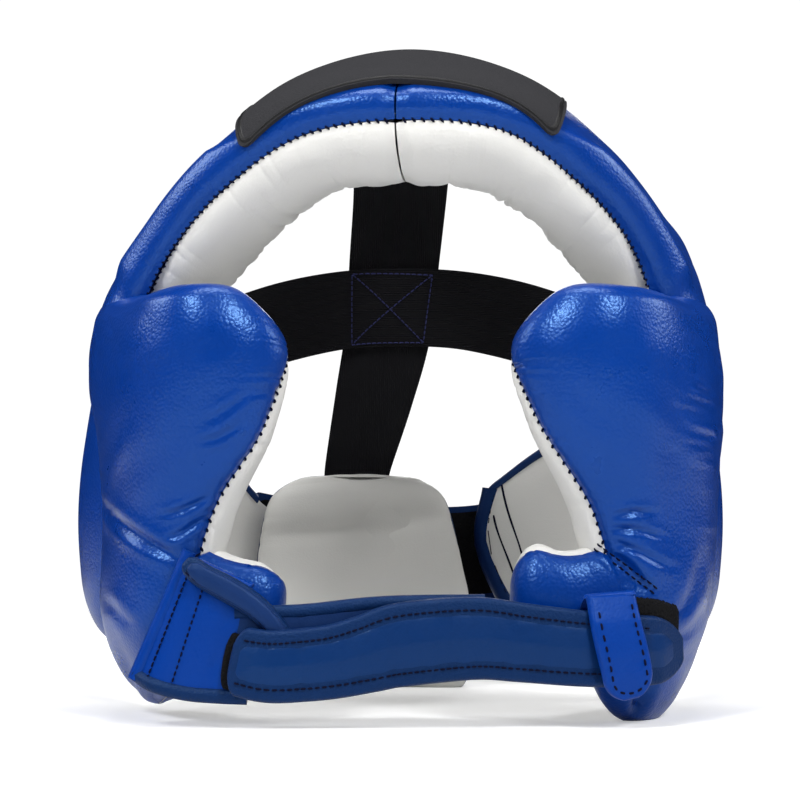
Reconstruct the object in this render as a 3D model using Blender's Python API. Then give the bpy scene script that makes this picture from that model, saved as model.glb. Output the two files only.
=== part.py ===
"""Boxing headgear: padded brow, cheeks, ears, jaw wings and nape, held by elastic webbing,
a chin strap with a keeper tab, and two closure bands at the back.

Metres, +Z up. The headgear faces -Y and its own right-hand pads lie at -X; it stands on its two
cheek pads and its neck pad at Z = 0.
"""

import math

import bmesh
import bpy
import numpy as np
from mathutils import Matrix

for old in list(bpy.data.objects):
    bpy.data.objects.remove(old, do_unlink=True)

# --- driving dimensions -------------------------------------------------------------------

LEATHER = 0.0012  # thickness of the leather shells and of the linings
FIT = 0.0003  # gap kept between pieces that touch
SEAM_GAP = 0.0005  # gap along a seam between shell and lining
FOAM_GAP = 0.0007  # room between a foam core and the skins over it

BROW_THICK = 0.036
CHEEK_THICK = 0.030
EAR_THICK = 0.024
JAW_THICK = 0.020
WING_THICK = 0.0075
NECK_THICK = 0.018

WEB_WIDTH = 0.038  # elastic webbing
WEB_THICK = 0.0016

STRAP_WIDTH = 0.026  # chin strap
STRAP_THICK = 0.0030
UNDER_THICK = 0.0026  # under strap and anchor panel
PILE_THICK = 0.0012  # hook and pile patches
TAB_WIDTH = 0.015
TAB_LENGTH = 0.031
TAB_THICK = 0.0018

BAND_WIDTH = 0.045  # rear closure bands
BAND_THICK = 0.0022
BAND_HEM = 0.0030  # bound edge beside the pile
EDGE_THICK = 0.0030  # binding over the wings' top edges
STRIP_THICK = 0.0050  # strip behind the neck pad that carries the bands
CHIN_FRONT = -0.1080  # where the chin straps start, in front of the jaw wings
SWING_GAP = 0.0010  # between a flap and the fixed piece at its hinge

PATCH_LENGTH = 0.088  # forehead patch, along the brow
PATCH_DEPTH = 0.050  # the same, front to back
PATCH_START = 0.008  # from the brow's front seam to the patch
PATCH_THICK = 0.0022
PATCH_LIFT = 0.0006  # the flat facets of the patch stay this far off the brow
BINDING = 0.0045  # width of the bound edge round the patch

CENTRE_Y = 0.0080  # the middle of the box round everything, moved to Y = 0 at the end
NECK_SHIFT = -0.018  # the neck pad sits to one side of the centre
WING_DROP = 0.024  # and the right wing's top edge is tucked down beside it

LOOP_STEPS = 12  # facets round a pad's section
LENGTH_STEPS = 10  # facets along a pad
BROW_STEPS = 16  # the same, along the brow
END_ROOM = 2.5  # a skin is this many times as thick where a pad's end closes

# --- materials ------------------------------------------------------------------------------


def material(name, colour, roughness):
    mat = bpy.data.materials.new(name)
    mat.use_nodes = True
    shader = mat.node_tree.nodes["Principled BSDF"]
    shader.inputs["Base Color"].default_value = (*colour, 1.0)
    shader.inputs["Roughness"].default_value = roughness
    shader.inputs["Metallic"].default_value = 0.0
    return mat


BLUE = material("blue_leather", (0.015, 0.075, 0.42), 0.38)
NAVY = material("navy_leather", (0.012, 0.035, 0.16), 0.45)
WHITE = material("lining_leather", (0.60, 0.60, 0.57), 0.50)
BLACK = material("black_webbing", (0.006, 0.006, 0.008), 0.80)
PATCH = material("patch_leather", (0.040, 0.041, 0.045), 0.40)
PILE = material("pile", (0.010, 0.010, 0.011), 0.95)
FOAM = material("foam", (0.75, 0.70, 0.45), 0.90)

# --- surfaces -------------------------------------------------------------------------------


def spline(points, t):
    """Smooth curve through points (n, ...) read at the parameters t in 0..1."""
    points = np.asarray(points, float)
    count = len(points)
    ends = np.concatenate([[2 * points[0] - points[1]], points, [2 * points[-1] - points[-2]]])
    x = np.clip(np.asarray(t, float), 0.0, 1.0) * (count - 1)
    i = np.minimum(x.astype(int), count - 2)
    f = (x - i).reshape(-1, *([1] * (points.ndim - 1)))
    p0, p1, p2, p3 = ends[i], ends[i + 1], ends[i + 2], ends[i + 3]
    return p1 + 0.5 * f * (p2 - p0 + f * (2 * p0 - 5 * p1 + 4 * p2 - p3 + f * (3 * (p1 - p2) + p3 - p0)))


class Pad:
    """A padded panel: a bent middle surface, swollen to a rounded section.

    net is the middle surface's points [along][across], thick its thickness along its length.
    ends says how much of its length each end takes to round off (0 is a flat cut), and corner
    how far the width draws in there. floor is a plane that the pad rests on.
    """

    def __init__(self, net, thick, ends=(0.2, 0.2), corner=0.5, floor=None, power=0.75):
        self.net = np.array(net, float)
        self.thick = np.atleast_1d(np.array(thick, float))
        self.ends = ends
        self.corner = corner
        self.floor = floor
        self.power = power
        grid = self.middle(np.linspace(0, 1, 13), np.full(13, 0.5))
        self.length = np.linalg.norm(np.diff(grid, axis=0), axis=1).sum()
        grid = self.middle(np.full(13, 0.5), np.linspace(0, 1, 13))
        self.width = np.linalg.norm(np.diff(grid, axis=0), axis=1).sum()

    def middle(self, u, v):
        rows = spline(self.net, u)
        out = np.empty((len(u), 3))
        for k in range(len(u)):
            out[k] = spline(rows[k], [v[k]])[0]
        return out

    def rounding(self, s):
        k = np.ones_like(s)
        for end, x in ((self.ends[0], s), (self.ends[1], 1 - s)):
            if end > 0:
                near = np.clip(x / end, 0, 1)
                k = np.minimum(k, np.sqrt(np.clip(1 - (1 - near) ** 2, 0, 1)))
        return k

    def surface(self, s, phi, inset=0.0, shift=0.0):
        """Points for arrays s (0..1 along) and phi (radians round the section: 0 outer side,
        a quarter turn at the far edge, a half turn inner side), moved shift along the normal."""
        s = np.asarray(s, float)
        phi = np.asarray(phi, float)
        k = self.rounding(s)
        lo = END_ROOM * inset / self.length if self.ends[0] > 0 else 0.0
        hi = END_ROOM * inset / self.length if self.ends[1] > 0 else 0.0
        u = lo + s * (1 - lo - hi)
        wide = 1 - self.corner * (1 - k) - 2 * inset / self.width
        sine, cosine = np.sin(phi), np.cos(phi)
        v = 0.5 + 0.5 * wide * np.sign(sine) * np.abs(sine) ** self.power
        if len(self.thick) > 1:
            half = spline(self.thick, u) / 2
        else:
            half = np.full_like(u, self.thick[0] / 2)
        depth = np.maximum(half * k - inset, 0.0) * np.sign(cosine) * np.abs(cosine) ** self.power
        step = 1e-3
        base = self.middle(u, v)
        along = self.middle(np.minimum(u + step, 1), v) - self.middle(np.maximum(u - step, 0), v)
        across = self.middle(u, np.minimum(v + step, 1)) - self.middle(u, np.maximum(v - step, 0))
        normal = np.cross(along, across)
        normal /= np.linalg.norm(normal, axis=1)[:, None]
        out = base + normal * (depth + shift)[:, None]
        if self.floor is not None:
            out[:, 2] = np.maximum(out[:, 2], self.floor + max(inset, 0.0))
        return out

    def grid(self, s_values, phi_values, inset=0.0, shift=0.0):
        s, phi = np.meshgrid(s_values, phi_values, indexing="ij")
        return self.surface(s.ravel(), phi.ravel(), inset, shift).reshape(*s.shape, 3)


def mirrored(grid):
    return grid * np.array([-1.0, 1.0, 1.0])


# --- solids ---------------------------------------------------------------------------------


def solid(name, front, back, mat, wrap=False):
    """Closed solid between two point grids of one shape; wrap joins the last column to the first."""
    rows, cols = front.shape[:2]
    mesh = bpy.data.meshes.new(name)
    bm = bmesh.new()
    verts = [[[bm.verts.new(p) for p in row] for row in grid] for grid in (front, back)]
    span = cols if wrap else cols - 1
    for i in range(rows - 1):
        for j in range(span):
            n = (j + 1) % cols
            a, b, c, d = (verts[0][i][j], verts[0][i + 1][j], verts[0][i + 1][n], verts[0][i][n])
            bm.faces.new((a, b, c, d))
            a, b, c, d = (verts[1][i][j], verts[1][i + 1][j], verts[1][i + 1][n], verts[1][i][n])
            bm.faces.new((a, d, c, b))
    for i in (0, rows - 1):
        for j in range(span):
            n = (j + 1) % cols
            bm.faces.new((verts[0][i][j], verts[0][i][n], verts[1][i][n], verts[1][i][j]))
    if not wrap:
        for j in (0, cols - 1):
            for i in range(rows - 1):
                bm.faces.new((verts[0][i][j], verts[0][i + 1][j], verts[1][i + 1][j], verts[1][i][j]))
    return finish(name, mesh, bm, mat)


def closed_loft(name, grid, mat):
    """Closed solid inside a tube of loops, its two end loops filled."""
    rows, cols = grid.shape[:2]
    mesh = bpy.data.meshes.new(name)
    bm = bmesh.new()
    verts = [[bm.verts.new(p) for p in row] for row in grid]
    for i in range(rows - 1):
        for j in range(cols):
            n = (j + 1) % cols
            bm.faces.new((verts[i][j], verts[i + 1][j], verts[i + 1][n], verts[i][n]))
    bm.faces.new(verts[0])
    bm.faces.new(verts[-1][::-1])
    return finish(name, mesh, bm, mat)


def finish(name, mesh, bm, mat):
    bmesh.ops.triangulate(bm, faces=bm.faces, quad_method="FIXED")
    bmesh.ops.remove_doubles(bm, verts=bm.verts, dist=2e-5)
    bmesh.ops.dissolve_degenerate(bm, edges=bm.edges, dist=2e-5)
    bmesh.ops.recalc_face_normals(bm, faces=bm.faces)
    if bm.calc_volume(signed=True) < 0:
        bmesh.ops.reverse_faces(bm, faces=bm.faces)
    bm.to_mesh(mesh)
    bm.free()
    mesh.materials.append(mat)
    mesh.shade_smooth()
    mesh.set_sharp_from_angle(angle=math.radians(40))
    obj = bpy.data.objects.new(name, mesh)
    bpy.context.collection.objects.link(obj)
    return obj


def slab(name, grid, thick, mat, lift=0.0, side=1.0):
    """Sheet of even thickness whose near face lies lift off the grid, on the side of its normals."""
    along = np.gradient(grid, axis=0)
    across = np.gradient(grid, axis=1)
    normal = np.cross(along, across) * side
    normal /= np.maximum(np.linalg.norm(normal, axis=2)[..., None], 1e-12)
    return solid(name, grid + normal * (lift + thick), grid + normal * lift, mat)


def stations(pad, steps, span=(0.0, 1.0)):
    """Stations along a pad, closer together where its ends round off."""
    x = np.linspace(0, 1, steps + 1)
    s = 0.35 * x + 0.65 * (0.5 - 0.5 * np.cos(np.pi * x))
    return np.array([span[0], *s[(s > span[0] + 1e-3) & (s < span[1] - 1e-3)], span[1]])


def turns(arc):
    """Angles round a section: the ends of the arc and the whole facets between them."""
    step = 2 * math.pi / LOOP_STEPS
    first, last = math.ceil(arc[0] / step + 0.2), math.floor(arc[1] / step - 0.2)
    return np.array([arc[0], *(step * k for k in range(first, last + 1)), arc[1]])


def skin(name, pad, arc, mat, mirror=False, span=(0.0, 1.0), steps=LENGTH_STEPS):
    """Leather skin over part of a pad's section: arc is the range of phi that it covers."""
    gap = SEAM_GAP / pad.thick.max()
    phi = turns((arc[0] + gap, arc[1] - gap))
    s = stations(pad, steps, span)
    shift = math.copysign(SEAM_GAP / 2, math.cos(0.5 * (arc[0] + arc[1])))
    outer = pad.grid(s, phi, 0.0, shift)
    inner = pad.grid(s, phi, LEATHER, shift)
    if mirror:
        outer, inner = mirrored(outer), mirrored(inner)
    return solid(name, outer, inner, mat)


def core(name, pad, mirror=False, steps=LENGTH_STEPS):
    """Foam core inside a pad's skins."""
    phi = np.arange(LOOP_STEPS) * 2 * math.pi / LOOP_STEPS
    loops = pad.grid(stations(pad, steps), phi, LEATHER + FOAM_GAP)
    if mirror:
        loops = mirrored(loops)
    return closed_loft(name, loops, FOAM)


SIDES = (("left", False), ("right", True))

# --- pads, drawn for the wearer's left (+X) side ---------------------------------------------

brow_half = np.array([
    [(0.0000, -0.1120, 0.1860), (0.0000, -0.0845, 0.1975), (0.0000, -0.0455, 0.2175), (0.0000, -0.0080, 0.2280)],
    [(0.0300, -0.1070, 0.1845), (0.0318, -0.0810, 0.1950), (0.0340, -0.0440, 0.2100), (0.0345, -0.0060, 0.2190)],
    [(0.0548, -0.0950, 0.1730), (0.0583, -0.0700, 0.1800), (0.0618, -0.0360, 0.1925), (0.0640, -0.0010, 0.1990)],
    [(0.0730, -0.0820, 0.1565), (0.0765, -0.0570, 0.1625), (0.0810, -0.0270, 0.1720), (0.0845, 0.0050, 0.1780)],
    [(0.0875, -0.0690, 0.1370), (0.0925, -0.0440, 0.1475), (0.0970, -0.0180, 0.1600), (0.0985, 0.0100, 0.1680)],
])
brow = Pad(
    np.concatenate([mirrored(brow_half[:0:-1]), brow_half]),
    (0.82 * BROW_THICK, 0.92 * BROW_THICK, BROW_THICK, 0.92 * BROW_THICK, 0.82 * BROW_THICK),
    ends=(0.06, 0.06),
    corner=0.20,
)
cheek = Pad(
    [
        [(0.0500, -0.0965, 0.1400), (0.0705, -0.0955, 0.1425), (0.0915, -0.0640, 0.1387), (0.0975, -0.0150, 0.1605)],
        [(0.0345, -0.1000, 0.1190), (0.0690, -0.0970, 0.1200), (0.0935, -0.0610, 0.1190), (0.1000, -0.0150, 0.1290)],
        [(0.0405, -0.1000, 0.0930), (0.0715, -0.0930, 0.0930), (0.0930, -0.0590, 0.0930), (0.0998, -0.0150, 0.0940)],
        [(0.0550, -0.0950, 0.0640), (0.0765, -0.0860, 0.0645), (0.0925, -0.0560, 0.0650), (0.0985, -0.0150, 0.0660)],
        [(0.0640, -0.0910, 0.0310), (0.0775, -0.0840, 0.0320), (0.0900, -0.0550, 0.0330), (0.0950, -0.0150, 0.0360)],
        [(0.0650, -0.0870, -0.0100), (0.0750, -0.0805, -0.0110), (0.0820, -0.0560, -0.0080), (0.0850, -0.0210, 0.0140)],
    ],
    (CHEEK_THICK, 1.1 * CHEEK_THICK, CHEEK_THICK, 0.9 * CHEEK_THICK, 0.85 * CHEEK_THICK),
    ends=(0.10, 0.14),
    corner=0.28,
    floor=0.0,
)
ear = Pad(
    [
        [(0.0990, -0.0090, 0.1480), (0.1055, 0.0220, 0.1520), (0.0985, 0.0540, 0.1470)],
        [(0.1003, -0.0140, 0.1110), (0.1120, 0.0220, 0.1110), (0.0992, 0.0575, 0.1090)],
        [(0.1003, -0.0140, 0.0700), (0.1142, 0.0220, 0.0700), (0.0998, 0.0583, 0.0700)],
        [(0.0990, -0.0080, 0.0310), (0.1055, 0.0200, 0.0280), (0.0975, 0.0510, 0.0310)],
    ],
    EAR_THICK,
    ends=(0.18, 0.18),
    corner=0.45,
)
jaw = Pad(
    [
        [(0.0596, -0.0920, 0.0535), (0.0611, -0.0930, 0.0360), (0.0621, -0.0900, 0.0190)],
        [(0.0460, -0.0930, 0.0515), (0.0465, -0.0940, 0.0350), (0.0480, -0.0910, 0.0195)],
        [(0.0355, -0.0900, 0.0510), (0.0350, -0.0910, 0.0350), (0.0360, -0.0880, 0.0210)],
    ],
    JAW_THICK,
    ends=(0.12, 0.35),
    corner=0.45,
)
WING_NET = np.array([
    [(0.0960, 0.0560, 0.0340), (0.0995, 0.0590, 0.0780), (0.0985, 0.0580, 0.1180)],
    [(0.0840, 0.0810, 0.0310), (0.0880, 0.0850, 0.0740), (0.0870, 0.0840, 0.1150)],
    [(0.0610, 0.1035, 0.0280), (0.0645, 0.1080, 0.0680), (0.0640, 0.1070, 0.1050)],
    [(0.0430, 0.1165, 0.0270), (0.0345, 0.1235, 0.0620), (0.0340, 0.1230, 0.0900)],
])
wing_drop = np.zeros_like(WING_NET)
wing_drop[1:, 2, 2] = (-0.006, -WING_DROP, -WING_DROP)
wing_drop[2:, 1, 2] = -WING_DROP / 3
wings = {
    side: Pad(net, WING_THICK, ends=(0.04, 0.25), corner=0.45)
    for side, net in (("left", WING_NET), ("right", WING_NET + wing_drop))
}
neck = Pad(
    np.array([
        [(0.0380, 0.1040, 0.0945), (0.0000, 0.1165, 0.0975), (-0.0380, 0.1000, 0.0945)],
        [(0.0420, 0.1000, 0.0760), (0.0000, 0.1140, 0.0770), (-0.0440, 0.0950, 0.0760)],
        [(0.0450, 0.0940, 0.0500), (0.0000, 0.1075, 0.0500), (-0.0470, 0.0890, 0.0500)],
        [(0.0480, 0.0880, 0.0250), (0.0000, 0.0990, 0.0240), (-0.0470, 0.0830, 0.0250)],
        [(0.0470, 0.0840, -0.0060), (0.0000, 0.0930, -0.0070), (-0.0460, 0.0790, -0.0060)],
    ])
    + np.array([NECK_SHIFT, 0.003, 0.0]),
    NECK_THICK,
    ends=(0.16, 0.12),
    corner=0.35,
    floor=0.0,
)

# --- padded pieces ----------------------------------------------------------------------------

QUARTER = 0.5 * math.pi
FULL = 2 * math.pi
CHEEK_SEAM = math.radians(30)  # the cheek lining wraps this far round the front edge

centre_gap = 0.5 * SEAM_GAP / brow.length
for side, span in (("right", (0.0, 0.5 - centre_gap)), ("left", (0.5 + centre_gap, 1.0))):
    skin(f"brow_shell_{side}", brow, (-QUARTER, QUARTER), BLUE, span=span, steps=BROW_STEPS)
    skin(f"brow_lining_{side}", brow, (QUARTER, FULL - QUARTER), WHITE, span=span, steps=BROW_STEPS)
core("brow_foam", brow, steps=BROW_STEPS)

for side, mirror in SIDES:
    for title, pad, seam in (
        ("cheek", cheek, CHEEK_SEAM),
        ("ear", ear, 0.0),
        ("jaw", jaw, CHEEK_SEAM),
        ("wing", wings[side], 0.0),
    ):
        skin(f"{title}_shell_{side}", pad, (seam - QUARTER, QUARTER), BLUE, mirror)
        skin(f"{title}_lining_{side}", pad, (QUARTER, FULL - QUARTER + seam), WHITE, mirror)
        core(f"{title}_foam_{side}", pad, mirror)
skin("neck_shell", neck, (-QUARTER, QUARTER), NAVY)
skin("neck_lining", neck, (QUARTER, FULL - QUARTER), WHITE)
core("neck_foam", neck)

# --- straps, webbing and patches --------------------------------------------------------------

UP = (0.0, 0.0, 1.0)
DOWN = (0.0, 0.0, -1.0)


def tape(name, points, sheet, width, thick, mat, steps=10, cols=2, ends=(0.0, 0.0), lift=0.0, mirror=False):
    """Flat strap along a smooth curve. points are the middle line of its near face, sheet the
    direction of its width and width its size (one, or one for each point), ends the length of
    each rounded end."""
    x = np.linspace(0, 1, steps + 1)
    line = spline(points, x)
    wide = spline(np.broadcast_to(np.array(sheet, float), np.shape(points)), x)
    wide /= np.linalg.norm(wide, axis=1)[:, None]
    length = np.linalg.norm(np.diff(line, axis=0), axis=1).sum()
    keep = spline(np.broadcast_to(np.array(width, float), len(points)), x).ravel()
    for end, away in ((ends[0], x * length), (ends[1], (1 - x) * length)):
        if end > 0:
            near = np.clip(away / end, 0, 1)
            keep = keep * (0.3 + 0.7 * np.sqrt(1 - (1 - near) ** 2))
    share = np.linspace(-0.5, 0.5, cols + 1)
    grid = line[:, None, :] + wide[:, None, :] * (share[None, :, None] * keep[:, None, None])
    return slab(name, mirrored(grid) if mirror else grid, thick, mat, lift, -1.0 if mirror else 1.0)


def rise(pad, distance):
    """Angle round a pad's section at a distance from its first edge, on the outer side."""
    share = 1 - 2 * distance / pad.width
    return -math.copysign(math.asin(abs(share) ** (1 / pad.power)), share)


def facing(grid):
    along, across = np.gradient(grid, axis=0), np.gradient(grid, axis=1)
    normal = np.cross(along, across)
    return normal / np.linalg.norm(normal, axis=2)[..., None]


# forehead patch and its bound edge
def patch_grid(margin, rows, cols):
    reach = (PATCH_LENGTH / 2 - margin) / brow.length
    s = np.linspace(0.5 - reach, 0.5 + reach, rows)
    phi = np.linspace(rise(brow, PATCH_START + margin), rise(brow, PATCH_START + PATCH_DEPTH - margin), cols)
    return brow.grid(s, phi)


def rim(grid):
    return np.concatenate([grid[:, 0], grid[-1, 1:], grid[-2::-1, -1], grid[0, -2:0:-1]])


PATCH_ROWS, PATCH_COLS = 13, 7
slab("patch", patch_grid(BINDING + FIT, PATCH_ROWS, PATCH_COLS), PATCH_THICK, PATCH, PATCH_LIFT)
edges = [patch_grid(m, PATCH_ROWS, PATCH_COLS) for m in (0.0, BINDING)]
near = np.stack([rim(g + facing(g) * PATCH_LIFT) for g in edges])
far = np.stack([rim(g + facing(g) * (PATCH_LIFT + PATCH_THICK)) for g in edges])
solid("patch_binding", far, near, BLACK, wrap=True)

# elastic webbing: the crown strap runs over the side strap where they cross
CROWN = [
    (0.0000, -0.0076, 0.2281),
    (0.0000, 0.0300, 0.2250),
    (-0.0010, 0.0620, 0.2130),
    (-0.0035, 0.0885, 0.1915),
    (-0.0065, 0.1069, 0.1620),
    (-0.0120, 0.1190, 0.1330),
    (NECK_SHIFT, 0.1260, 0.1020),
    (NECK_SHIFT - 0.001, 0.1263, 0.0930),
]
CROWN_SHEET = [(-1.0, 0.0, 0.0)] * 5 + [(-1.0, -0.12, 0.0), (-1.0, -0.25, 0.0), (-1.0, -0.25, 0.0)]
SIDE_STRAP = [
    (0.0995, 0.0569, 0.1345),
    (0.0900, 0.0770, 0.1450),
    (0.0620, 0.0920, 0.1605),
    (0.0300, 0.0965, 0.1690),
    (0.0000, 0.0980, 0.1710),
]
SIDE_SHEET = [
    (0.00, -0.05, 1.00),
    (-0.10, -0.20, 0.97),
    (-0.15, -0.38, 0.90),
    (-0.08, -0.50, 0.86),
    (0.00, -0.52, 0.85),
]
flip = np.array([-1.0, 1.0, 1.0])
side_line = np.concatenate([SIDE_STRAP, (np.array(SIDE_STRAP) * flip)[-2::-1]])
side_sheet = np.concatenate([SIDE_SHEET, (np.array(SIDE_SHEET) * flip)[-2::-1]])
tape("crown_webbing", CROWN, CROWN_SHEET, WEB_WIDTH, WEB_THICK, BLACK, steps=20)
tape("side_webbing", side_line, side_sheet, WEB_WIDTH, WEB_THICK, BLACK, steps=20)

# binding over the top edge of each wing
for (side, mirror), end in zip(SIDES, (0.76, 0.58)):
    s = np.linspace(0.20, end, 9)
    edge = wings[side].surface(s, np.full_like(s, QUARTER))
    below = wings[side].surface(s, np.zeros_like(s)) + wings[side].surface(s, np.full_like(s, math.pi))
    away = edge - below / 2
    away /= np.linalg.norm(away, axis=1)[:, None]
    along = np.gradient(edge, axis=0)
    sheet = np.cross(along, away)
    tape(
        f"wing_binding_{side}",
        edge + away * (SEAM_GAP + FIT),
        -sheet / np.linalg.norm(sheet, axis=1)[:, None],
        WING_THICK + 0.001,
        EDGE_THICK,
        NAVY,
        steps=12,
        mirror=mirror,
    )

# rear closure bands, hooked to the backs of the wings
BAND = [
    (0.0030, 0.1310, 0.0590),
    (0.0200, 0.1320, 0.0590),
    (0.0365, 0.1310, 0.0600),
    (0.0565, 0.1212, 0.0630),
    (0.0745, 0.1077, 0.0660),
]
for side, mirror in SIDES:
    tape(f"rear_band_{side}", BAND, DOWN, BAND_WIDTH, BAND_THICK, NAVY, ends=(0, 0.008), mirror=mirror)
    tape(
        f"rear_band_pile_{side}",
        BAND,
        DOWN,
        BAND_WIDTH - 2 * BAND_HEM,
        PILE_THICK,
        PILE,
        ends=(0, 0.008),
        lift=-PILE_THICK - FIT,
        mirror=mirror,
    )

# strip sewn to the back of the neck pad, where both bands start
STRIP = [(-0.0070, 0.0, 0.0590), (0.0000, 0.0, 0.0590), (0.0070, 0.0, 0.0590)]
strip_face = BAND[0][1] - PILE_THICK - 2 * FIT - STRIP_THICK
tape(
    "band_anchor",
    [(p[0], strip_face, p[2]) for p in STRIP],
    DOWN,
    BAND_WIDTH,
    STRIP_THICK,
    NAVY,
    steps=2,
)

# chin closure, in layers from the jaw wings forward
UNDER_FACE = CHIN_FRONT - UNDER_THICK - FIT
HOOK_FACE = UNDER_FACE - PILE_THICK - FIT
STRAP_FACE = HOOK_FACE - PILE_THICK - FIT
TAB_X = 0.0645
HINGE_X = TAB_X - TAB_WIDTH / 2 - 0.0060

PANEL = [(-0.0785, 0.0045, 0.0280), (-0.0700, 0.0012, 0.0280), (-0.0620, 0.0002, 0.0268), (-0.0535, 0.0, 0.0250)]
UNDER = [(-0.0530 + SWING_GAP, 0.0, 0.0262), (-0.0300, 0.0, 0.0270), (0.0000, 0.0, 0.0290), (0.0300, 0.0, 0.0290)]
ARM = [(-0.0690, 0.0, 0.0495), (-0.0580, 0.0, 0.0440), (-0.0450, 0.0, 0.0370), (-0.0330, 0.0, 0.0290)]
STRAP = [
    (-0.0520, 0.0, 0.0215),
    (-0.0400, 0.0, 0.0195),
    (-0.0220, -0.0003, 0.0215),
    (0.0000, -0.0006, 0.0262),
    (0.0210, -0.0006, 0.0272),
    (0.0350, -0.0003, 0.0262),
    (HINGE_X - SWING_GAP / 2, 0.0, 0.0245),
]
END = [
    (HINGE_X + SWING_GAP / 2, 0.0, 0.0243),
    (TAB_X, 0.0045, 0.0228),
    (0.0770, 0.0113, 0.0218),
    (0.0880, 0.0195, 0.0215),
]
PILE_END = [(TAB_X + 0.0005, 0.0047, 0.0268), (0.0770, 0.0113, 0.0258), (0.0860, 0.0178, 0.0255)]


def ahead(points, y):
    return [(p[0], y + p[1], p[2]) for p in points]


PANEL_SHEET = [(0.25, 0.05, 0.97), (0.20, 0.03, 0.98), (0.12, 0.00, 0.99), (0.05, 0.00, 1.00)]
tape(
    "anchor_panel",
    ahead(PANEL, CHIN_FRONT),
    PANEL_SHEET,
    (0.048, 0.047, 0.044, 0.037),
    UNDER_THICK,
    BLUE,
    steps=6,
    cols=4,
)
tape("under_strap", ahead(UNDER, CHIN_FRONT), UP, STRAP_WIDTH - 0.002, UNDER_THICK, NAVY, ends=(0, 0.008))
tape("anchor_binding", ahead(ARM, UNDER_FACE), (0.5, 0.0, 0.87), 0.0050, 2 * PILE_THICK, NAVY)
strap_pile = dict(thick=PILE_THICK, mat=PILE, steps=4, ends=(0.004, 0.004))
tape("anchor_pile", ahead(STRAP[:2], UNDER_FACE), UP, 0.022, **strap_pile)
tape("chin_strap_hook", ahead(STRAP[:2], HOOK_FACE), UP, 0.020, **strap_pile)
tape("chin_strap", ahead(STRAP, STRAP_FACE), UP, STRAP_WIDTH, STRAP_THICK, NAVY, steps=14, cols=4, ends=(0.008, 0))
tape("chin_strap_end", ahead(END, STRAP_FACE), UP, STRAP_WIDTH, STRAP_THICK, NAVY, cols=4, ends=(0, 0.010))
tape("cheek_pile", ahead(PILE_END, STRAP_FACE), UP, 0.031, PILE_THICK, PILE, lift=-PILE_THICK - FIT, ends=(0, 0.006))

# keeper tab over the strap's fixed end, on a short base sewn to the cheek
TAB_FACE = STRAP_FACE - STRAP_THICK - FIT
TAB_TOP = 0.0400
TAB_SHEET = (1.0, 0.30, 0.0)
TAB = [
    (TAB_X, 0.0035, TAB_TOP),
    (TAB_X + 0.0008, 0.0030, TAB_TOP - 0.33 * TAB_LENGTH),
    (TAB_X + 0.0020, 0.0034, TAB_TOP - 0.67 * TAB_LENGTH),
    (TAB_X + 0.0030, 0.0045, TAB_TOP - TAB_LENGTH),
]
BASE = [(TAB_X, 0.0140, TAB_TOP + 0.0030), (TAB_X, 0.0080, TAB_TOP + 0.0026), (TAB_X, 0.0020, TAB_TOP + 0.0008)]
tape("keeper_tab", ahead(TAB, TAB_FACE), TAB_SHEET, TAB_WIDTH, TAB_THICK, BLUE, ends=(0, 0.007))
tape("keeper_base", ahead(BASE, TAB_FACE), TAB_SHEET, TAB_WIDTH, TAB_THICK, BLUE, steps=4)

# --- hinges and the shared frame ---------------------------------------------------------------


def link_empty(name, point):
    empty = bpy.data.objects.new(name, None)
    empty.location = point
    bpy.context.collection.objects.link(empty)
    return empty


def hinge(name, point, members):
    """Empty on a hinge's axis that carries the pieces which turn about it."""
    empty = link_empty(name, point)
    for member in members:
        piece = bpy.data.objects[member]
        piece.parent = empty
        piece.matrix_parent_inverse = Matrix.Translation(point).inverted()


hinge("chin_strap_axis", (STRAP[-1][0], STRAP_FACE - STRAP_THICK, STRAP[-1][2]), ("chin_strap", "chin_strap_hook"))
hinge("keeper_tab_axis", (TAB_X, TAB_FACE + TAB[0][1] - TAB_THICK, TAB_TOP), ("keeper_tab",))
for side, mirror in SIDES:
    x, y, z = BAND[0]
    point = (-x if mirror else x, y + BAND_THICK, z)
    hinge(f"rear_band_{side}_axis", point, (f"rear_band_{side}", f"rear_band_pile_{side}"))

root = link_empty("headgear", (0.0, -CENTRE_Y, 0.0))
for obj in list(bpy.data.objects):
    if obj.parent is None and obj is not root:
        obj.parent = root
bpy.context.view_layer.update()
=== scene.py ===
import math

import bmesh
import bpy
import numpy as np
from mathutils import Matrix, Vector
from mathutils.bvhtree import BVHTree


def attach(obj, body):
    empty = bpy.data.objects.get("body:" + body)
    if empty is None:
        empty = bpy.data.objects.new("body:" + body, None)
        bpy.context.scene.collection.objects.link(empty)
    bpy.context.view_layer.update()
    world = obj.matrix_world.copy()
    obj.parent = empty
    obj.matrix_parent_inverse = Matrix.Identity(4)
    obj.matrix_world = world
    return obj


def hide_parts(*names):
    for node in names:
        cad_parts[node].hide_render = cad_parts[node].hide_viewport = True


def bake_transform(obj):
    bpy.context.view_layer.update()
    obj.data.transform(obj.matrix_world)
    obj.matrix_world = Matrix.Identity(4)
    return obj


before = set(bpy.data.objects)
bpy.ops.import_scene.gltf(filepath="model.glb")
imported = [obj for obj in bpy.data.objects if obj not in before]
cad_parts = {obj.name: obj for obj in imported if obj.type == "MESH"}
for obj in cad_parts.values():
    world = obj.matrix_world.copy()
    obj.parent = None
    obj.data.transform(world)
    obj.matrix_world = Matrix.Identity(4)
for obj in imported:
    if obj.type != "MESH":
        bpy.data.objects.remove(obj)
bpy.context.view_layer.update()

# --- Table, studio and camera ----------------------------------------------------------------------
# The headgear stands on a plain white table. Soft boxes light it from the front, from both sides,
# from above and from behind, and a dim room fills in the shadows.

scene = bpy.context.scene
scene.view_settings.view_transform = "Standard"


def link(obj):
    bpy.context.collection.objects.link(obj)
    return obj


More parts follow.
